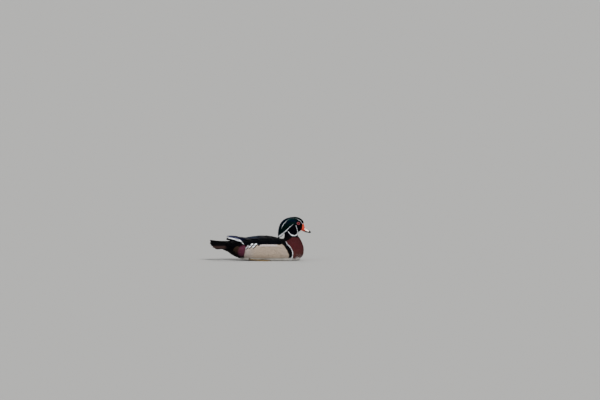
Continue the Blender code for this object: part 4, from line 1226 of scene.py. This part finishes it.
def make_flanks():
    for side in (LEFT, RIGHT):
        coat = Coat(f"flank_feathers_{NAMES[side]}", FLANK_SEED + side)
        for row in FLANK_ROWS:
            root_at, tip_at = np.radians(row[:2])
            first, last, lift = row[2:]
            s = evenly(BODY_FORM, root_at, first, last, FLANK_STEP)
            s = s + coat.draw.normal(0, FLANK_ROOTS_VARY, len(s))
            s = s[starts_on_flank(s, root_at)]
            run = np.linalg.norm(BODY_FORM.frame(s, root_at)[1], axis=-1)
            roots = np.stack([s, np.full(len(s), side * root_at)], 1)
            tips = np.stack([s + FLANK_LENGTH / run, np.full(len(s), side * tip_at)], 1)
            tips += coat.draw.normal(0, FLANK_TIPS_VARY, tips.shape)
            lay_feathers(coat, BODY_FORM, roots, tips, FLANK_WIDTH, (lift - FLANK_SUNK, lift), BROAD_VANE,
                         flank_tint, roll=-side * 0.015, camber=0.05, fray=0.25, tear=0.035, mottle=0.03,
                         decorate=pale_tips if row is FLANK_ROWS[-1] else None)
        x0, z0, x1, z1, width, lift = np.array(BARRED).T
        lifts = np.stack([np.full(len(BARRED), BARRED_SUNK), lift], 1)
        lay_feathers(coat, BODY_FORM, locate(side, x0, z0), locate(side, x1, z1), width, lifts, FINE_VANE,
                     flank_tint, roll=-side * 0.03, camber=0.1, decorate=barred_tips, mottle=0.03)
        coat.build(FLANK_SOFT, "body_plumage")


make_flanks()


# Wings.
EVEN = np.linspace(0, 1, 16)
LONG = np.linspace(0, 1, 22)
QUILL = vane(EVEN, (0, 0.15, 0.5, 0.8, 0.93, 1), (0.5, 0.85, 1, 0.9, 0.62, 0.2), 7)
LONG_QUILL = vane(LONG, (0, 0.15, 0.5, 0.85, 0.95, 1), (0.5, 0.9, 1, 0.8, 0.5, 0.15), 7)
RECTRIX = vane(LONG, (0, 0.15, 0.5, 0.9, 0.96, 1), (0.5, 0.85, 1, 0.95, 0.7, 0.3), 7)
WING_TIERS = (  # count, roots, tips, widths, lifts from root to tip, vane
    (9, ((0.36, 0.94), (0.38, 0.4)), ((0.575, 0.99), (0.735, 0.4)), (12, 13), (-1.2, 1.4), QUILL),
    (9, ((0.27, 0.95), (0.28, 0.38)), ((0.46, 0.97), (0.56, 0.38)), (11, 12), (-1, 1.7), BROAD_VANE),
    (9, ((0.17, 0.95), (0.18, 0.34)), ((0.35, 0.96), (0.41, 0.34)), (10, 11), (-1, 1.8), BROAD_VANE),
    (10, ((0.11, 0.95), (0.11, 0.3)), ((0.25, 0.96), (0.29, 0.3)), (9, 10), (-1, 1.9), BROAD_VANE),
    (10, ((0.06, 0.93), (0.06, 0.3)), ((0.19, 0.95), (0.22, 0.3)), (9, 9), (-1, 2), BROAD_VANE),
    (10, ((0.02, 0.9), (0.01, 0.28)), ((0.13, 0.93), (0.15, 0.28)), (8, 9), (-1, 2), BROAD_VANE),
    (10, ((-0.03, 0.86), (-0.04, 0.25)), ((0.08, 0.9), (0.09, 0.25)), (8, 9), (-1, 2), BROAD_VANE),
    (5, ((0.42, 0.52), (0.42, 0.1)), ((0.7, 0.68), (0.97, 0.12)), (15, 13), (-0.8, 2.4), QUILL),
    (4, ((0.32, 0.34), (0.32, 0.03)), ((0.58, 0.36), (0.66, 0.03)), (14, 12), (-0.8, 2.6), BROAD_VANE),
    (4, ((0.23, 0.34), (0.23, 0.03)), ((0.48, 0.36), (0.52, 0.03)), (14, 12), (-0.8, 2.6), BROAD_VANE),
    (5, ((0.14, 0.34), (0.14, 0.02)), ((0.37, 0.36), (0.4, 0.02)), (12, 11), (-0.8, 2.6), BROAD_VANE),
    (5, ((0.05, 0.34), (0.05, 0.02)), ((0.26, 0.36), (0.28, 0.02)), (11, 10), (-0.8, 2.6), BROAD_VANE),
    (5, ((-0.03, 0.34), (-0.03, 0.02)), ((0.15, 0.36), (0.17, 0.02)), (10, 9), (-0.8, 2.4), BROAD_VANE),
)
WING_SEED = 41
PRIMARIES, PRIMARY_WIDTH = 8, 9.0
PRIMARY_ROOTS = ((0.5, 0.3), (0, 0.46))  # place of the first, and how far the last is from it
PRIMARY_TIPS = ((0.9, 0.24), (0.11, 1))
PRIMARY_LIFTS = ((-0.9, -0.2), (-2.6, -2.2))
LAST_PRIMARIES, LAST_SHORTER = (0.8, 1), 0.06
WING_TIPS_VARY = 0.02


def between(pair, count):
    """Places spread evenly from one to another."""
    f = np.linspace(0, 1, count)[:, None]
    return np.asarray(pair[0]) * (1 - f) + np.asarray(pair[1]) * f


def make_wings():
    for side in (LEFT, RIGHT):
        coat, wing = Coat(f"wing_feathers_{NAMES[side]}", WING_SEED + side), WINGS[side]
        f = np.linspace(0, 1, PRIMARIES)[:, None]
        roots, tips, lifts = (np.array(start) + np.array(change) * f
                              for start, change in (PRIMARY_ROOTS, PRIMARY_TIPS, PRIMARY_LIFTS))
        tips[:, 0] -= LAST_SHORTER * ramp(f[:, 0], *LAST_PRIMARIES)
        lay_feathers(coat, wing, roots, tips, PRIMARY_WIDTH, lifts, LONG_QUILL, wing_tint, roll=-side * 0.04,
                     camber=0.08)
        for count, root, tip, width, lifts, kind in WING_TIERS:
            roots, tips = between(root, count), between(tip, count)
            tips = tips + (tips - roots) * coat.draw.normal(0, WING_TIPS_VARY, (count, 1))
            lay_feathers(coat, wing, roots, tips, np.linspace(*width, count), lifts, kind, wing_tint,
                         roll=-side * 0.08)
        coat.build(STIFF, "wing_feathers")


make_wings()


# Tail and the plumes beside it.
TAIL_PAIRS = 7
TAIL_BLACK = srgb(7, 7, 8)
TAIL_BROWN = srgb(44, 32, 30)
BROWN_ABOVE, BROWN_BELOW, BROWN_BEHIND = (48, 53), (59, 63), (136, 150)
TAIL_SEED, PLUMES_SEED = 51, 52
TAIL_ROOTS = 0.2  # where along the fan the feathers start
TAIL_FIRST, TAIL_FEWER = 0.42, 0.45  # steps to the first pair; how many fewer steps than pairs a side has
TAIL_LIFTED, TAIL_STEP_DOWN = 2.6, 0.45
TAIL_WIDTH, TAIL_NARROWING, TAIL_TIPS_VARY = 17.5, 0.3, 0.006
PLUMES_WIDTH, PLUMES_LIFTS = 1.05, (0.3, 2.2)
PLUMES = (  # root x and z, tip x and z
    (-84, 57, -106, 35), (-87.5, 59.5, -109, 38), (-91, 61, -112, 42), (-80.5, 54, -102, 33),
    (-94, 62, -114.5, 46.5),
)


def tail_tint(p):
    x, _, z = sides(p)
    strip = ramp(z, *BROWN_ABOVE) * (1 - ramp(z, *BROWN_BELOW)) * ramp(-x, *BROWN_BEHIND)
    return paint(plain(z.shape, TAIL_BLACK, 0.35), (strip, TAIL_BROWN, 0.1))


def plume_tint(p):
    return plain(p.shape[:-1], GOLD)


def make_tail():
    coat = Coat("tail_feathers", TAIL_SEED)
    for side in (LEFT, RIGHT):
        i = np.arange(TAIL_PAIRS)
        out = side * (i + TAIL_FIRST) / (TAIL_PAIRS - TAIL_FEWER)
        long = 1.0 + coat.draw.normal(0, TAIL_TIPS_VARY, TAIL_PAIRS)
        roots, tips = np.stack([np.full(TAIL_PAIRS, TAIL_ROOTS), out], 1), np.stack([long, out], 1)
        lifts = np.stack([TAIL_LIFTED - TAIL_STEP_DOWN * i] * 2, 1)
        lay_feathers(coat, TAIL_FAN, roots, tips, TAIL_WIDTH - TAIL_NARROWING * i, lifts, RECTRIX, tail_tint,
                     roll=-side * 0.10, camber=0.12)
    coat.build(STIFF, "tail_feathers", "tail")


def make_plumes():
    coat = Coat("side_plumes", PLUMES_SEED)
    x0, z0, x1, z1 = np.array(PLUMES).T
    for side in (LEFT, RIGHT):
        lay_feathers(coat, BODY_FORM, locate(side, x0, z0), locate(side, x1, z1), PLUMES_WIDTH, PLUMES_LIFTS,
                     PLUME, plume_tint, bow=-side * 0.16, fray=0.3, mottle=0.15)
    coat.build(STIFF, "tail_feathers")


make_tail()
make_plumes()


# Bill: ridge x and z, mouth line x and z, half width.
UPPER_BILL = (
    (176, 150, 168, 128.2, 10), (178.9, 145, 172, 126.6, 9.8), (180.4, 139, 176, 124.6, 9.2),
    (182.8, 133.5, 181.5, 122.8, 8.6), (187.8, 129.9, 187.5, 120.8, 8.2), (194, 126.4, 194, 118.4, 7.9),
    (200.2, 122.5, 199.5, 116.2, 7.2), (204.7, 119.3, 204.2, 113.7, 5.5), (206.7, 117, 206.3, 112.4, 3.4),
    (207.2, 115, 207, 112.4, 1.2),
)
LOWER_BILL = (
    (167, 128.4, 166, 123.4, 8.6), (171.6, 126.8, 171, 120.9, 8.3), (176, 125, 176.5, 118.3, 7.9),
    (181.5, 123.2, 182, 115.9, 7.4), (187.5, 121.2, 188.5, 114.7, 7), (194, 119, 194.5, 113.7, 6.6),
    (199.5, 116.8, 199.5, 112.7, 5.6), (203.2, 115.2, 203, 112.2, 3.4),
)
NOSTRIL_AT = (185.2, 128.6)
NOSTRIL_SIZE = (2.9, 1.25)
NOSTRIL_DEPTH, NOSTRIL_SLOPE = 1.5, (0.45, 1.1)
RIM_HEIGHT, RIM_AT, RIM_HALF = 0.3, 1.25, 0.3
NOSTRIL_OUT = 3  # nearer than this to the middle plane nothing is pressed in
NAIL_FROM, NAIL_WITHIN, NAIL_RISE = (199.0, 201.5), (2.2, 3.6), 0.35
COMB_HEIGHT, COMB_PITCH, COMB_REACH = 0.12, 34, 2.0  # fine ridges along the edge
BILL_STEPS, BILL_ARCH, BILL_FLAT = 120, 73, 13  # points along, over the dome and across the mouth's side
BILL_ROUND, BILL_HOLLOW, HOLLOW_WHERE = 0.75, 0.7, (0, 6)  # the last: half widths over which it deepens
# the last: where the painted shade of the nostril's opening fades out
RIDGE_SOFT, PATCH_SOFT, NOSTRIL_SHADE = 0.4, 0.6, (0.7, 1.0)
FLAT_HALF = 0.93
BILL_PINK_BELOW, BILL_PINK_BEFORE = (126.0, 128.5), (181, 185)
BILL_EDGE_FROM, BILL_EDGE_BELOW, BILL_TIP = (182, 187), (128.4, 129.4), (198.6, 199.8)
BILL_SLOPES, BILL_SLOPES_AT = (0.42, 0.37, 0.15), 170
UNDER_BROWN, UNDER_PINK = (180, 186), (171, 177)
BILL_PINK = srgb(173, 75, 55)
BILL_WHITE = srgb(248, 238, 226)
HORN_BLACK = srgb(13, 11, 12)
MOUTH_BROWN = srgb(82, 35, 26)
RIDGE_BLACK = ((181, 184, 187, 192, 198, 202), (0.6, 2.6, 3.9, 4.4, 4.8, 5.2))  # x and its half width
SIDE_PATCH = ((180.4, 129.4), (181.6, 132.2), (184.8, 133.0), (190.0, 130.4), (195.0, 127.4), (199.0, 123.6),
              (199.6, 119.2), (192.0, 121.0), (186.0, 123.2), (182.0, 126.2))


def mandible(table):
    """Rings of half a bill, domed on its first side and a little hollow on the mouth's."""
    s = np.linspace(0, len(table) - 1, BILL_STEPS)
    ox, oz, ix, iz, half = spline(table, s)[..., None].transpose(1, 0, 2)
    turn = np.linspace(0, np.pi, BILL_ARCH)[None, :]
    rise = np.sin(turn) ** BILL_ROUND
    outer = np.stack([ix + (ox - ix) * rise, half * np.cos(turn), iz + (oz - iz) * rise], -1)
    g = np.linspace(-FLAT_HALF, FLAT_HALF, BILL_FLAT)[None, :]
    dip = BILL_HOLLOW * (1 - g**2) * ramp(half, *HOLLOW_WHERE)
    inner = np.stack(np.broadcast_arrays(ix, half * g, iz + np.sign(oz - iz) * dip), -1)
    return s, np.concatenate([outer, inner], 1)


def off_nostril(x, z):
    """1 on the rim of the nostril, less within it."""
    return np.hypot((x - NOSTRIL_AT[0]) / NOSTRIL_SIZE[0], (z - NOSTRIL_AT[1]) / NOSTRIL_SIZE[1])


def upper_tint(p):
    x, y, z = sides(p)
    low, edge, tip = BILL_SLOPES
    half = np.interp(x, *RIDGE_BLACK)
    patch = [tuple(corner) for corner in resample(SIDE_PATCH + SIDE_PATCH[:1])]
    pink = 1 - ramp(z + low * (x - BILL_SLOPES_AT), *BILL_PINK_BELOW)
    black = 1 - ramp(z + edge * (x - BILL_SLOPES_AT), *BILL_EDGE_BELOW)
    return paint(
        plain(x.shape, BILL_RED),
        (pink * (1 - ramp(x, *BILL_PINK_BEFORE)), BILL_PINK),
        (ramp(x, *BILL_EDGE_FROM) * black, HORN_BLACK),
        (inside(p, patch, PATCH_SOFT), BILL_WHITE),
        ((1 - ramp(y, half - RIDGE_SOFT, half + RIDGE_SOFT)) * ramp(x, *RIDGE_BLACK[0][:2]), HORN_BLACK),
        (ramp(x + tip * y, *BILL_TIP), HORN_BLACK),
        # painted shade: the nostril's opening painted black over a shallow dent
        (1 - ramp(off_nostril(x, z), *NOSTRIL_SHADE), HORN_BLACK),
    )


def lower_tint(p):
    x = p[..., 0]
    browner, pinker = 1 - ramp(x, *UNDER_BROWN), 1 - ramp(x, *UNDER_PINK)
    return paint(plain(x.shape, HORN_BLACK), (browner, MOUTH_BROWN), (pinker, BILL_PINK))


def make_bill():
    horn = plain_material("horn", 0.42, coat=0.12, grain=0.08, scale=500.0, bump=0.08)
    s, upper = mandible(UPPER_BILL)
    x, y, z = np.moveaxis(upper, -1, 0)
    hole = off_nostril(x, z)
    ring = np.arange(upper.shape[1])
    outside = (ring < BILL_ARCH)[None, :]
    press = NOSTRIL_DEPTH * (1 - ramp(hole, *NOSTRIL_SLOPE))
    rim = RIM_HEIGHT * np.exp(-((hole - RIM_AT) / RIM_HALF) ** 2)
    upper[..., 1] -= np.sign(y) * (press - rim) * outside * (np.abs(y) > NOSTRIL_OUT)
    nail = ramp(x, *NAIL_FROM) * (1 - ramp(np.abs(y), *NAIL_WITHIN)) * outside
    upper[..., 2] += NAIL_RISE * nail
    edge = np.exp(-((ring % (BILL_ARCH - 1)) / COMB_REACH) ** 2)[None, :] * outside
    upper[..., 1] += np.sign(y) * COMB_HEIGHT * edge * np.sin(s * COMB_PITCH)[:, None]
    lower = mandible(LOWER_BILL)[1]
    for name, points, tint, node in (("bill_top", upper, upper_tint, "bill_upper"),
                                     ("bill_under", lower, lower_tint, "bill_lower")):
        dress(solid(name, points), tint(points), horn, "bill", node)


make_bill()


# Eyes and lids.
EYE_RADIUS = 5.8
PUPIL, IRIS = 0.45, 0.93  # radians from the middle of the gaze
GAZE = (0.15, 1, 0.10)
PUPIL_SOFT, PUPIL_HALO, IRIS_EDGE, RIM_SOFT = 0.02, 0.16, 0.10, 0.06  # radians too
EYE_SEED = 61
CORNEA_RISE, CORNEA_EDGE = 0.22, (0.5, 0.95)
EYE_AROUND, EYE_STREAK, STREAK_SHARED = 120, 0.16, 0.6
EYE_RINGS = ((0.01, 1.1, 56), (1.15, 3.13, 24))  # from, to, count
LID_AROUND, LID_SECTION = 144, 36
LID_OUTWARD, LID_CORNER, LID_FLATTER, CORNER_SHARP = (4.8, 6.6), 0.75, 0.25, 6
LID_CREASE, CREASE_HALF, LID_FEATHERED = 5.4, (0.1, 0.3), (5.8, 6.2)
LID_LOWER_AT_CORNERS, LID_WRINKLED_ABOVE = 0.25, (0, 0.6)
WRINKLES = ((0.07, 31), (0.05, 53))  # height and number round the eye
CHEEK_AT_EYE = 18.5
CHEEK_TILT = (-0.20, -0.25)
LID_PROFILE = (  # distance from the middle of the eye and height over the cheek, round the rim's section
    (4.45, -1.6), (4.3, 0.1), (4.45, 0.45), (4.8, 0.62), (5.15, 0.55), (5.4, 0.34), (5.65, 0.42),
    (5.95, 0.32), (6.4, -0.1), (7, -0.9), (7, -2.2), (5.4, -2.4),
)
LID_RED = srgb(128, 32, 52)
# painted shade colour for the crease of the lid
LID_CREASE_SHADE = srgb(62, 8, 17)
PUPIL_BLACK = srgb(6, 5, 6)
IRIS_RED = srgb(116, 10, 24)
IRIS_DEEP = srgb(62, 3, 9)
IRIS_RIM = srgb(40, 12, 14)


def make_eye(side):
    draw = np.random.default_rng(EYE_SEED)
    gaze = unit(np.array(GAZE) * (1, side, 1))
    across = unit(np.cross(gaze, (0, 0, 1)))
    above = np.cross(across, gaze)
    polar = np.concatenate([np.linspace(*ends) for ends in EYE_RINGS])[:, None]
    turn = circle(EYE_AROUND)[None, :]
    radius = EYE_RADIUS + CORNEA_RISE * (1 - ramp(polar, *CORNEA_EDGE))
    ring = across * np.cos(turn)[..., None] + above * np.sin(turn)[..., None]
    ray = gaze * np.cos(polar)[..., None] + ring * np.sin(polar)[..., None]
    points = mirror(EYE_AT, side) + ray * radius[..., None]
    streak = draw.normal(0, 1, EYE_AROUND)
    streak = (streak + np.roll(streak, 1) * STREAK_SHARED)[None, :] * EYE_STREAK
    polar = np.broadcast_to(polar, points.shape[:2])
    tint = plain(polar.shape, IRIS_RED)
    tint[..., :3] *= (1 + streak)[..., None]
    tint = paint(
        tint,
        (1 - ramp(polar, PUPIL, PUPIL + PUPIL_HALO), IRIS_DEEP),
        (ramp(polar, IRIS - IRIS_EDGE, IRIS), IRIS_DEEP),
        (1 - ramp(polar, PUPIL - PUPIL_SOFT, PUPIL + PUPIL_SOFT), PUPIL_BLACK),
        (ramp(polar, IRIS, IRIS + RIM_SOFT), IRIS_RIM),
    )
    dress(solid(f"eyeball_{NAMES[side]}", points), tint, EYE_WET, "eye", f"eye_{NAMES[side]}")


def make_lids(side):
    """A fleshy ring of upper and lower lid, drawn out a little at its front and rear corners."""
    turn = circle(LID_AROUND)[:, None]
    section = np.linspace(0, len(LID_PROFILE), LID_SECTION, endpoint=False)
    reach, height = spline((*LID_PROFILE, LID_PROFILE[0]), section).T[:, None, :]
    outward = ramp(reach, *LID_OUTWARD)
    corner = np.abs(np.cos(turn)) ** CORNER_SHARP
    dx = np.cos(turn) * (reach + LID_CORNER * corner * outward)
    dz = np.sin(turn) * (reach - LID_FLATTER * outward)
    (coarse, few), (fine, many) = WRINKLES
    wrinkle = coarse * np.sin(turn * few) * outward + fine * np.sin(turn * many + reach * 2)
    height = height * (1 - LID_LOWER_AT_CORNERS * corner) + wrinkle * ramp(height, *LID_WRINKLED_ABOVE)
    y = CHEEK_AT_EYE + CHEEK_TILT[0] * dx + CHEEK_TILT[1] * dz + height
    points = np.stack([EYE_AT[0] + dx, side * y, EYE_AT[2] + dz], -1)
    k = np.arange(dx.size).reshape(dx.shape)
    ahead, inwards = np.roll(k, -1, 0), np.roll(k, -1, 1)
    faces = np.stack([k, ahead, np.roll(ahead, -1, 1), inwards], -1).reshape(-1, 4)
    reach = np.broadcast_to(reach, dx.shape)
    tint = paint(
        plain(dx.shape, LID_RED),
        # painted shade: darker red along the crease of the lid
        ((1 - ramp(np.abs(reach - LID_CREASE), *CREASE_HALF)) * 0.7, LID_CREASE_SHADE),
        (ramp(reach, *LID_FEATHERED), FACE_DARK),
    )
    dress(solid(f"lids_{NAMES[side]}", points, [faces]), tint, LID_FLESH, "head_plumage")


EYE_WET = plain_material("wet_eye", 0.25, coat=0.35, grain=0.03, bump=0.0, coat_rough=0.03, specular=0.05)
LID_FLESH = plain_material("lid_flesh", 0.5, coat=0.15, scale=1500.0, bump=0.25)
for eye_side in (LEFT, RIGHT):
    make_eye(eye_side)
    make_lids(eye_side)


# Legs and feet.
FOOT_JOINT = (-9.0, 48.0, 3.4)
HEEL = (-45.0, 43.0, 6.2)
TOES = (  # knuckle and tip of the inner, middle and outer toe
    ((8.0, 41.0, 2.0), (27.0, 35.5, 1.9)), ((14.0, 48.5, 2.1), (38.0, 48.0, 1.9)),
    ((10.0, 55.5, 2.0), (30.0, 62.0, 1.9)),
)
TOE_RADIUS, TOE_END = 2.0, 1.8
TOE_RADII = (1.2, 1.02, 1.14, 0.92, 1.0, 0.5)
SHANK_SHARES, SHANK_RADII, SHANK_PITCH = (0, 0.25, 0.7), (3.3, 2.4, 2.2, 2.6), 3.0
# Places from the heel or the joint, and radii.
THIGH = (((-1.5, 0, -0.5), (3, -1, 5), (9, -2, 14)), (3.3, 4.3, 5.2))
HIND_TOE = (((1, 0, 0), (-5, -6, -0.8), (-9, -8.5, -1.5)), (1.7, 1.3, 0.9))
HIND_CLAW = (((-8, -8, -1.4), (-9.8, -8.9, -1.6), (-11.6, -9.8, -2.4)), (0.85, 0.7, 0.15))
CLAW, CLAW_RADII = ((0.6, 0), (2.6, 0.5), (5.5, -1)), (1.15, 0.95, 0.15)  # along its toe and up
SCUTE_PITCH, SCUTE_HEIGHT, SCUTES_ABOVE, ROD_LOWEST = 2.3, 0.06, (-0.3, 0.5), 0.12
WEB_GRID = (22, 20)  # outwards and from toe to toe
WEB_FROM, WEB_HOLLOW, WEB_TOP, WEB_LOW = 0.12, 0.16, 1.25, 0.25
WEB_FOLD, WEB_RIPPLE = (0.30, 6), (0.12, 31, 9)  # height, and how many along and across
SCALE_BANDS, WEB_OFF_TOES = 2.73, (2.4, 3.6)
LEG_YELLOW = srgb(102, 82, 48)
LEG_DUSK = srgb(82, 69, 46)
WEB_DARK = srgb(46, 40, 33)
CLAW_DARK = srgb(34, 29, 27)


def rod(path, radii, steps=64, around=24, pitch=SCUTE_PITCH, scutes=SCUTE_HEIGHT):
    """Rings along a curve; plates across the upper side stand out a little, one after another."""
    s = np.linspace(0, len(path) - 1, steps)
    line = spline(path, s)
    radius = spline(np.reshape(radii, (-1, 1)), s)[:, 0]
    ahead = unit(np.gradient(line, axis=0))
    across = unit(np.cross(ahead, (0, 0, 1.0)))
    above = np.cross(across, ahead)
    turn = circle(around)[None, :]
    plate = 1 - ((run_along(line) / pitch) % 1) ** 2
    swell = 1 + scutes * (plate[:, None] - 0.5) * ramp(np.sin(turn), *SCUTES_ABOVE)
    ring = np.cos(turn)[..., None] * across[:, None] + np.sin(turn)[..., None] * above[:, None]
    points = line[:, None] + ring * (radius[:, None] * swell)[..., None]
    points[..., 2] = np.maximum(points[..., 2], ROD_LOWEST)
    return points


def web_sheet(first, second, joint):
    """Rings round the edge of a web: a rippled skin between two toes with a hollow free edge."""
    f = np.linspace(WEB_FROM, 1, WEB_GRID[0])[:, None, None]
    g = np.linspace(0, 1, WEB_GRID[1])[None, :, None]
    a, b = joint + (first - joint) * f, joint + (second - joint) * f
    inwards = ((a + b) / 2 - joint) * WEB_HOLLOW * f**3
    grid = a + (b - a) * g - inwards * 4 * g * (1 - g)
    (fold, folds), (small, along, over) = WEB_FOLD, WEB_RIPPLE
    ripple = fold * np.sin(g * folds * np.pi) + small * np.sin(f * along + g * over)
    ripple = ripple * np.sin(np.pi * g) * f
    top, low = grid.copy(), grid.copy()
    top[..., 2] = (WEB_TOP + ripple)[..., 0]
    low[..., 2] = WEB_LOW
    return np.concatenate([top, low[:, ::-1]], 1)


def toe_gap(p, side):
    """How far points are from the lines of the toes and leg."""
    best = np.full(p.shape[:-1], np.inf)
    for line in (*((FOOT_JOINT, *toe) for toe in TOES), (HEEL, FOOT_JOINT)):
        line = mirror(line, side)
        for a, b in zip(line, line[1:]):
            f = (((p - a) @ (b - a)) / ((b - a) @ (b - a))).clip(0, 1)
            best = np.minimum(best, np.linalg.norm(p - a - f[..., None] * (b - a), axis=-1))
    return best


def make_foot(side):
    joint, heel = np.array(FOOT_JOINT), np.array(HEEL)
    shank = [*(heel + (joint - heel) * share for share in SHANK_SHARES), joint + (1, 0, 0)]
    parts = [rod(mirror(shank, side), SHANK_RADII, pitch=SHANK_PITCH)]
    parts += [rod(mirror(start + np.array(path), side), radii)
              for start, (path, radii) in ((heel, THIGH), (joint, HIND_TOE))]
    claws = [rod(mirror(joint + np.array(HIND_CLAW[0]), side), HIND_CLAW[1], 20, 12, scutes=0)]
    tips = np.array([tip for _, tip in TOES])
    for knuckle, tip in zip(np.array([knuckle for knuckle, _ in TOES]), tips):
        ahead = unit(tip - knuckle)
        path = [joint, (joint + knuckle) / 2, knuckle, (knuckle + tip) / 2, tip, tip + ahead * TOE_END]
        parts.append(rod(mirror(path, side), np.array(TOE_RADII) * TOE_RADIUS))
        nail = [tip + ahead * along + (0, 0, up) for along, up in CLAW]
        claws.append(rod(mirror(nail, side), CLAW_RADII, 24, 14, scutes=0))
    parts += [mirror(web_sheet(*pair, joint), side) for pair in zip(tips, tips[1:])]
    foot, *others = (solid("foot", p) for p in parts)
    join_solids(foot, others)
    foot.name = f"webbed_foot_{NAMES[side]}"
    p = vertices(foot)
    tint = paint(
        plain((len(p),), LEG_YELLOW),
        (ramp(np.sin(p[:, 0] * SCALE_BANDS) * 0.5 + 0.5, 0.6, 1.0) * 0.35, LEG_DUSK),
        (ramp(toe_gap(p, side), *WEB_OFF_TOES), WEB_DARK),
    )
    dress(foot, tint, SCALY, "leg_skin", f"leg_{NAMES[side]}", f"foot_{NAMES[side]}")
    faces, start = [], 0
    for claw in claws:
        faces += [face + start for face in tube_faces(*claw.shape[:2])]
        start += claw[..., 0].size
    nails = solid(f"claws_{NAMES[side]}", np.concatenate([claw.reshape(-1, 3) for claw in claws]), faces)
    dress(nails, plain((start,), CLAW_DARK), CLAW_HORN, "leg_skin")
    for obj in (foot, nails):
        obj.data.shade_smooth()


SCALY = plain_material("scaly_skin", 0.55, coat=0.1, grain=0.2, scale=800.0, bump=0.4)
CLAW_HORN = plain_material("claw_horn", 0.4, coat=0.2, grain=0.15, scale=700.0, bump=0.1)
for foot_side in (LEFT, RIGHT):
    make_foot(foot_side)
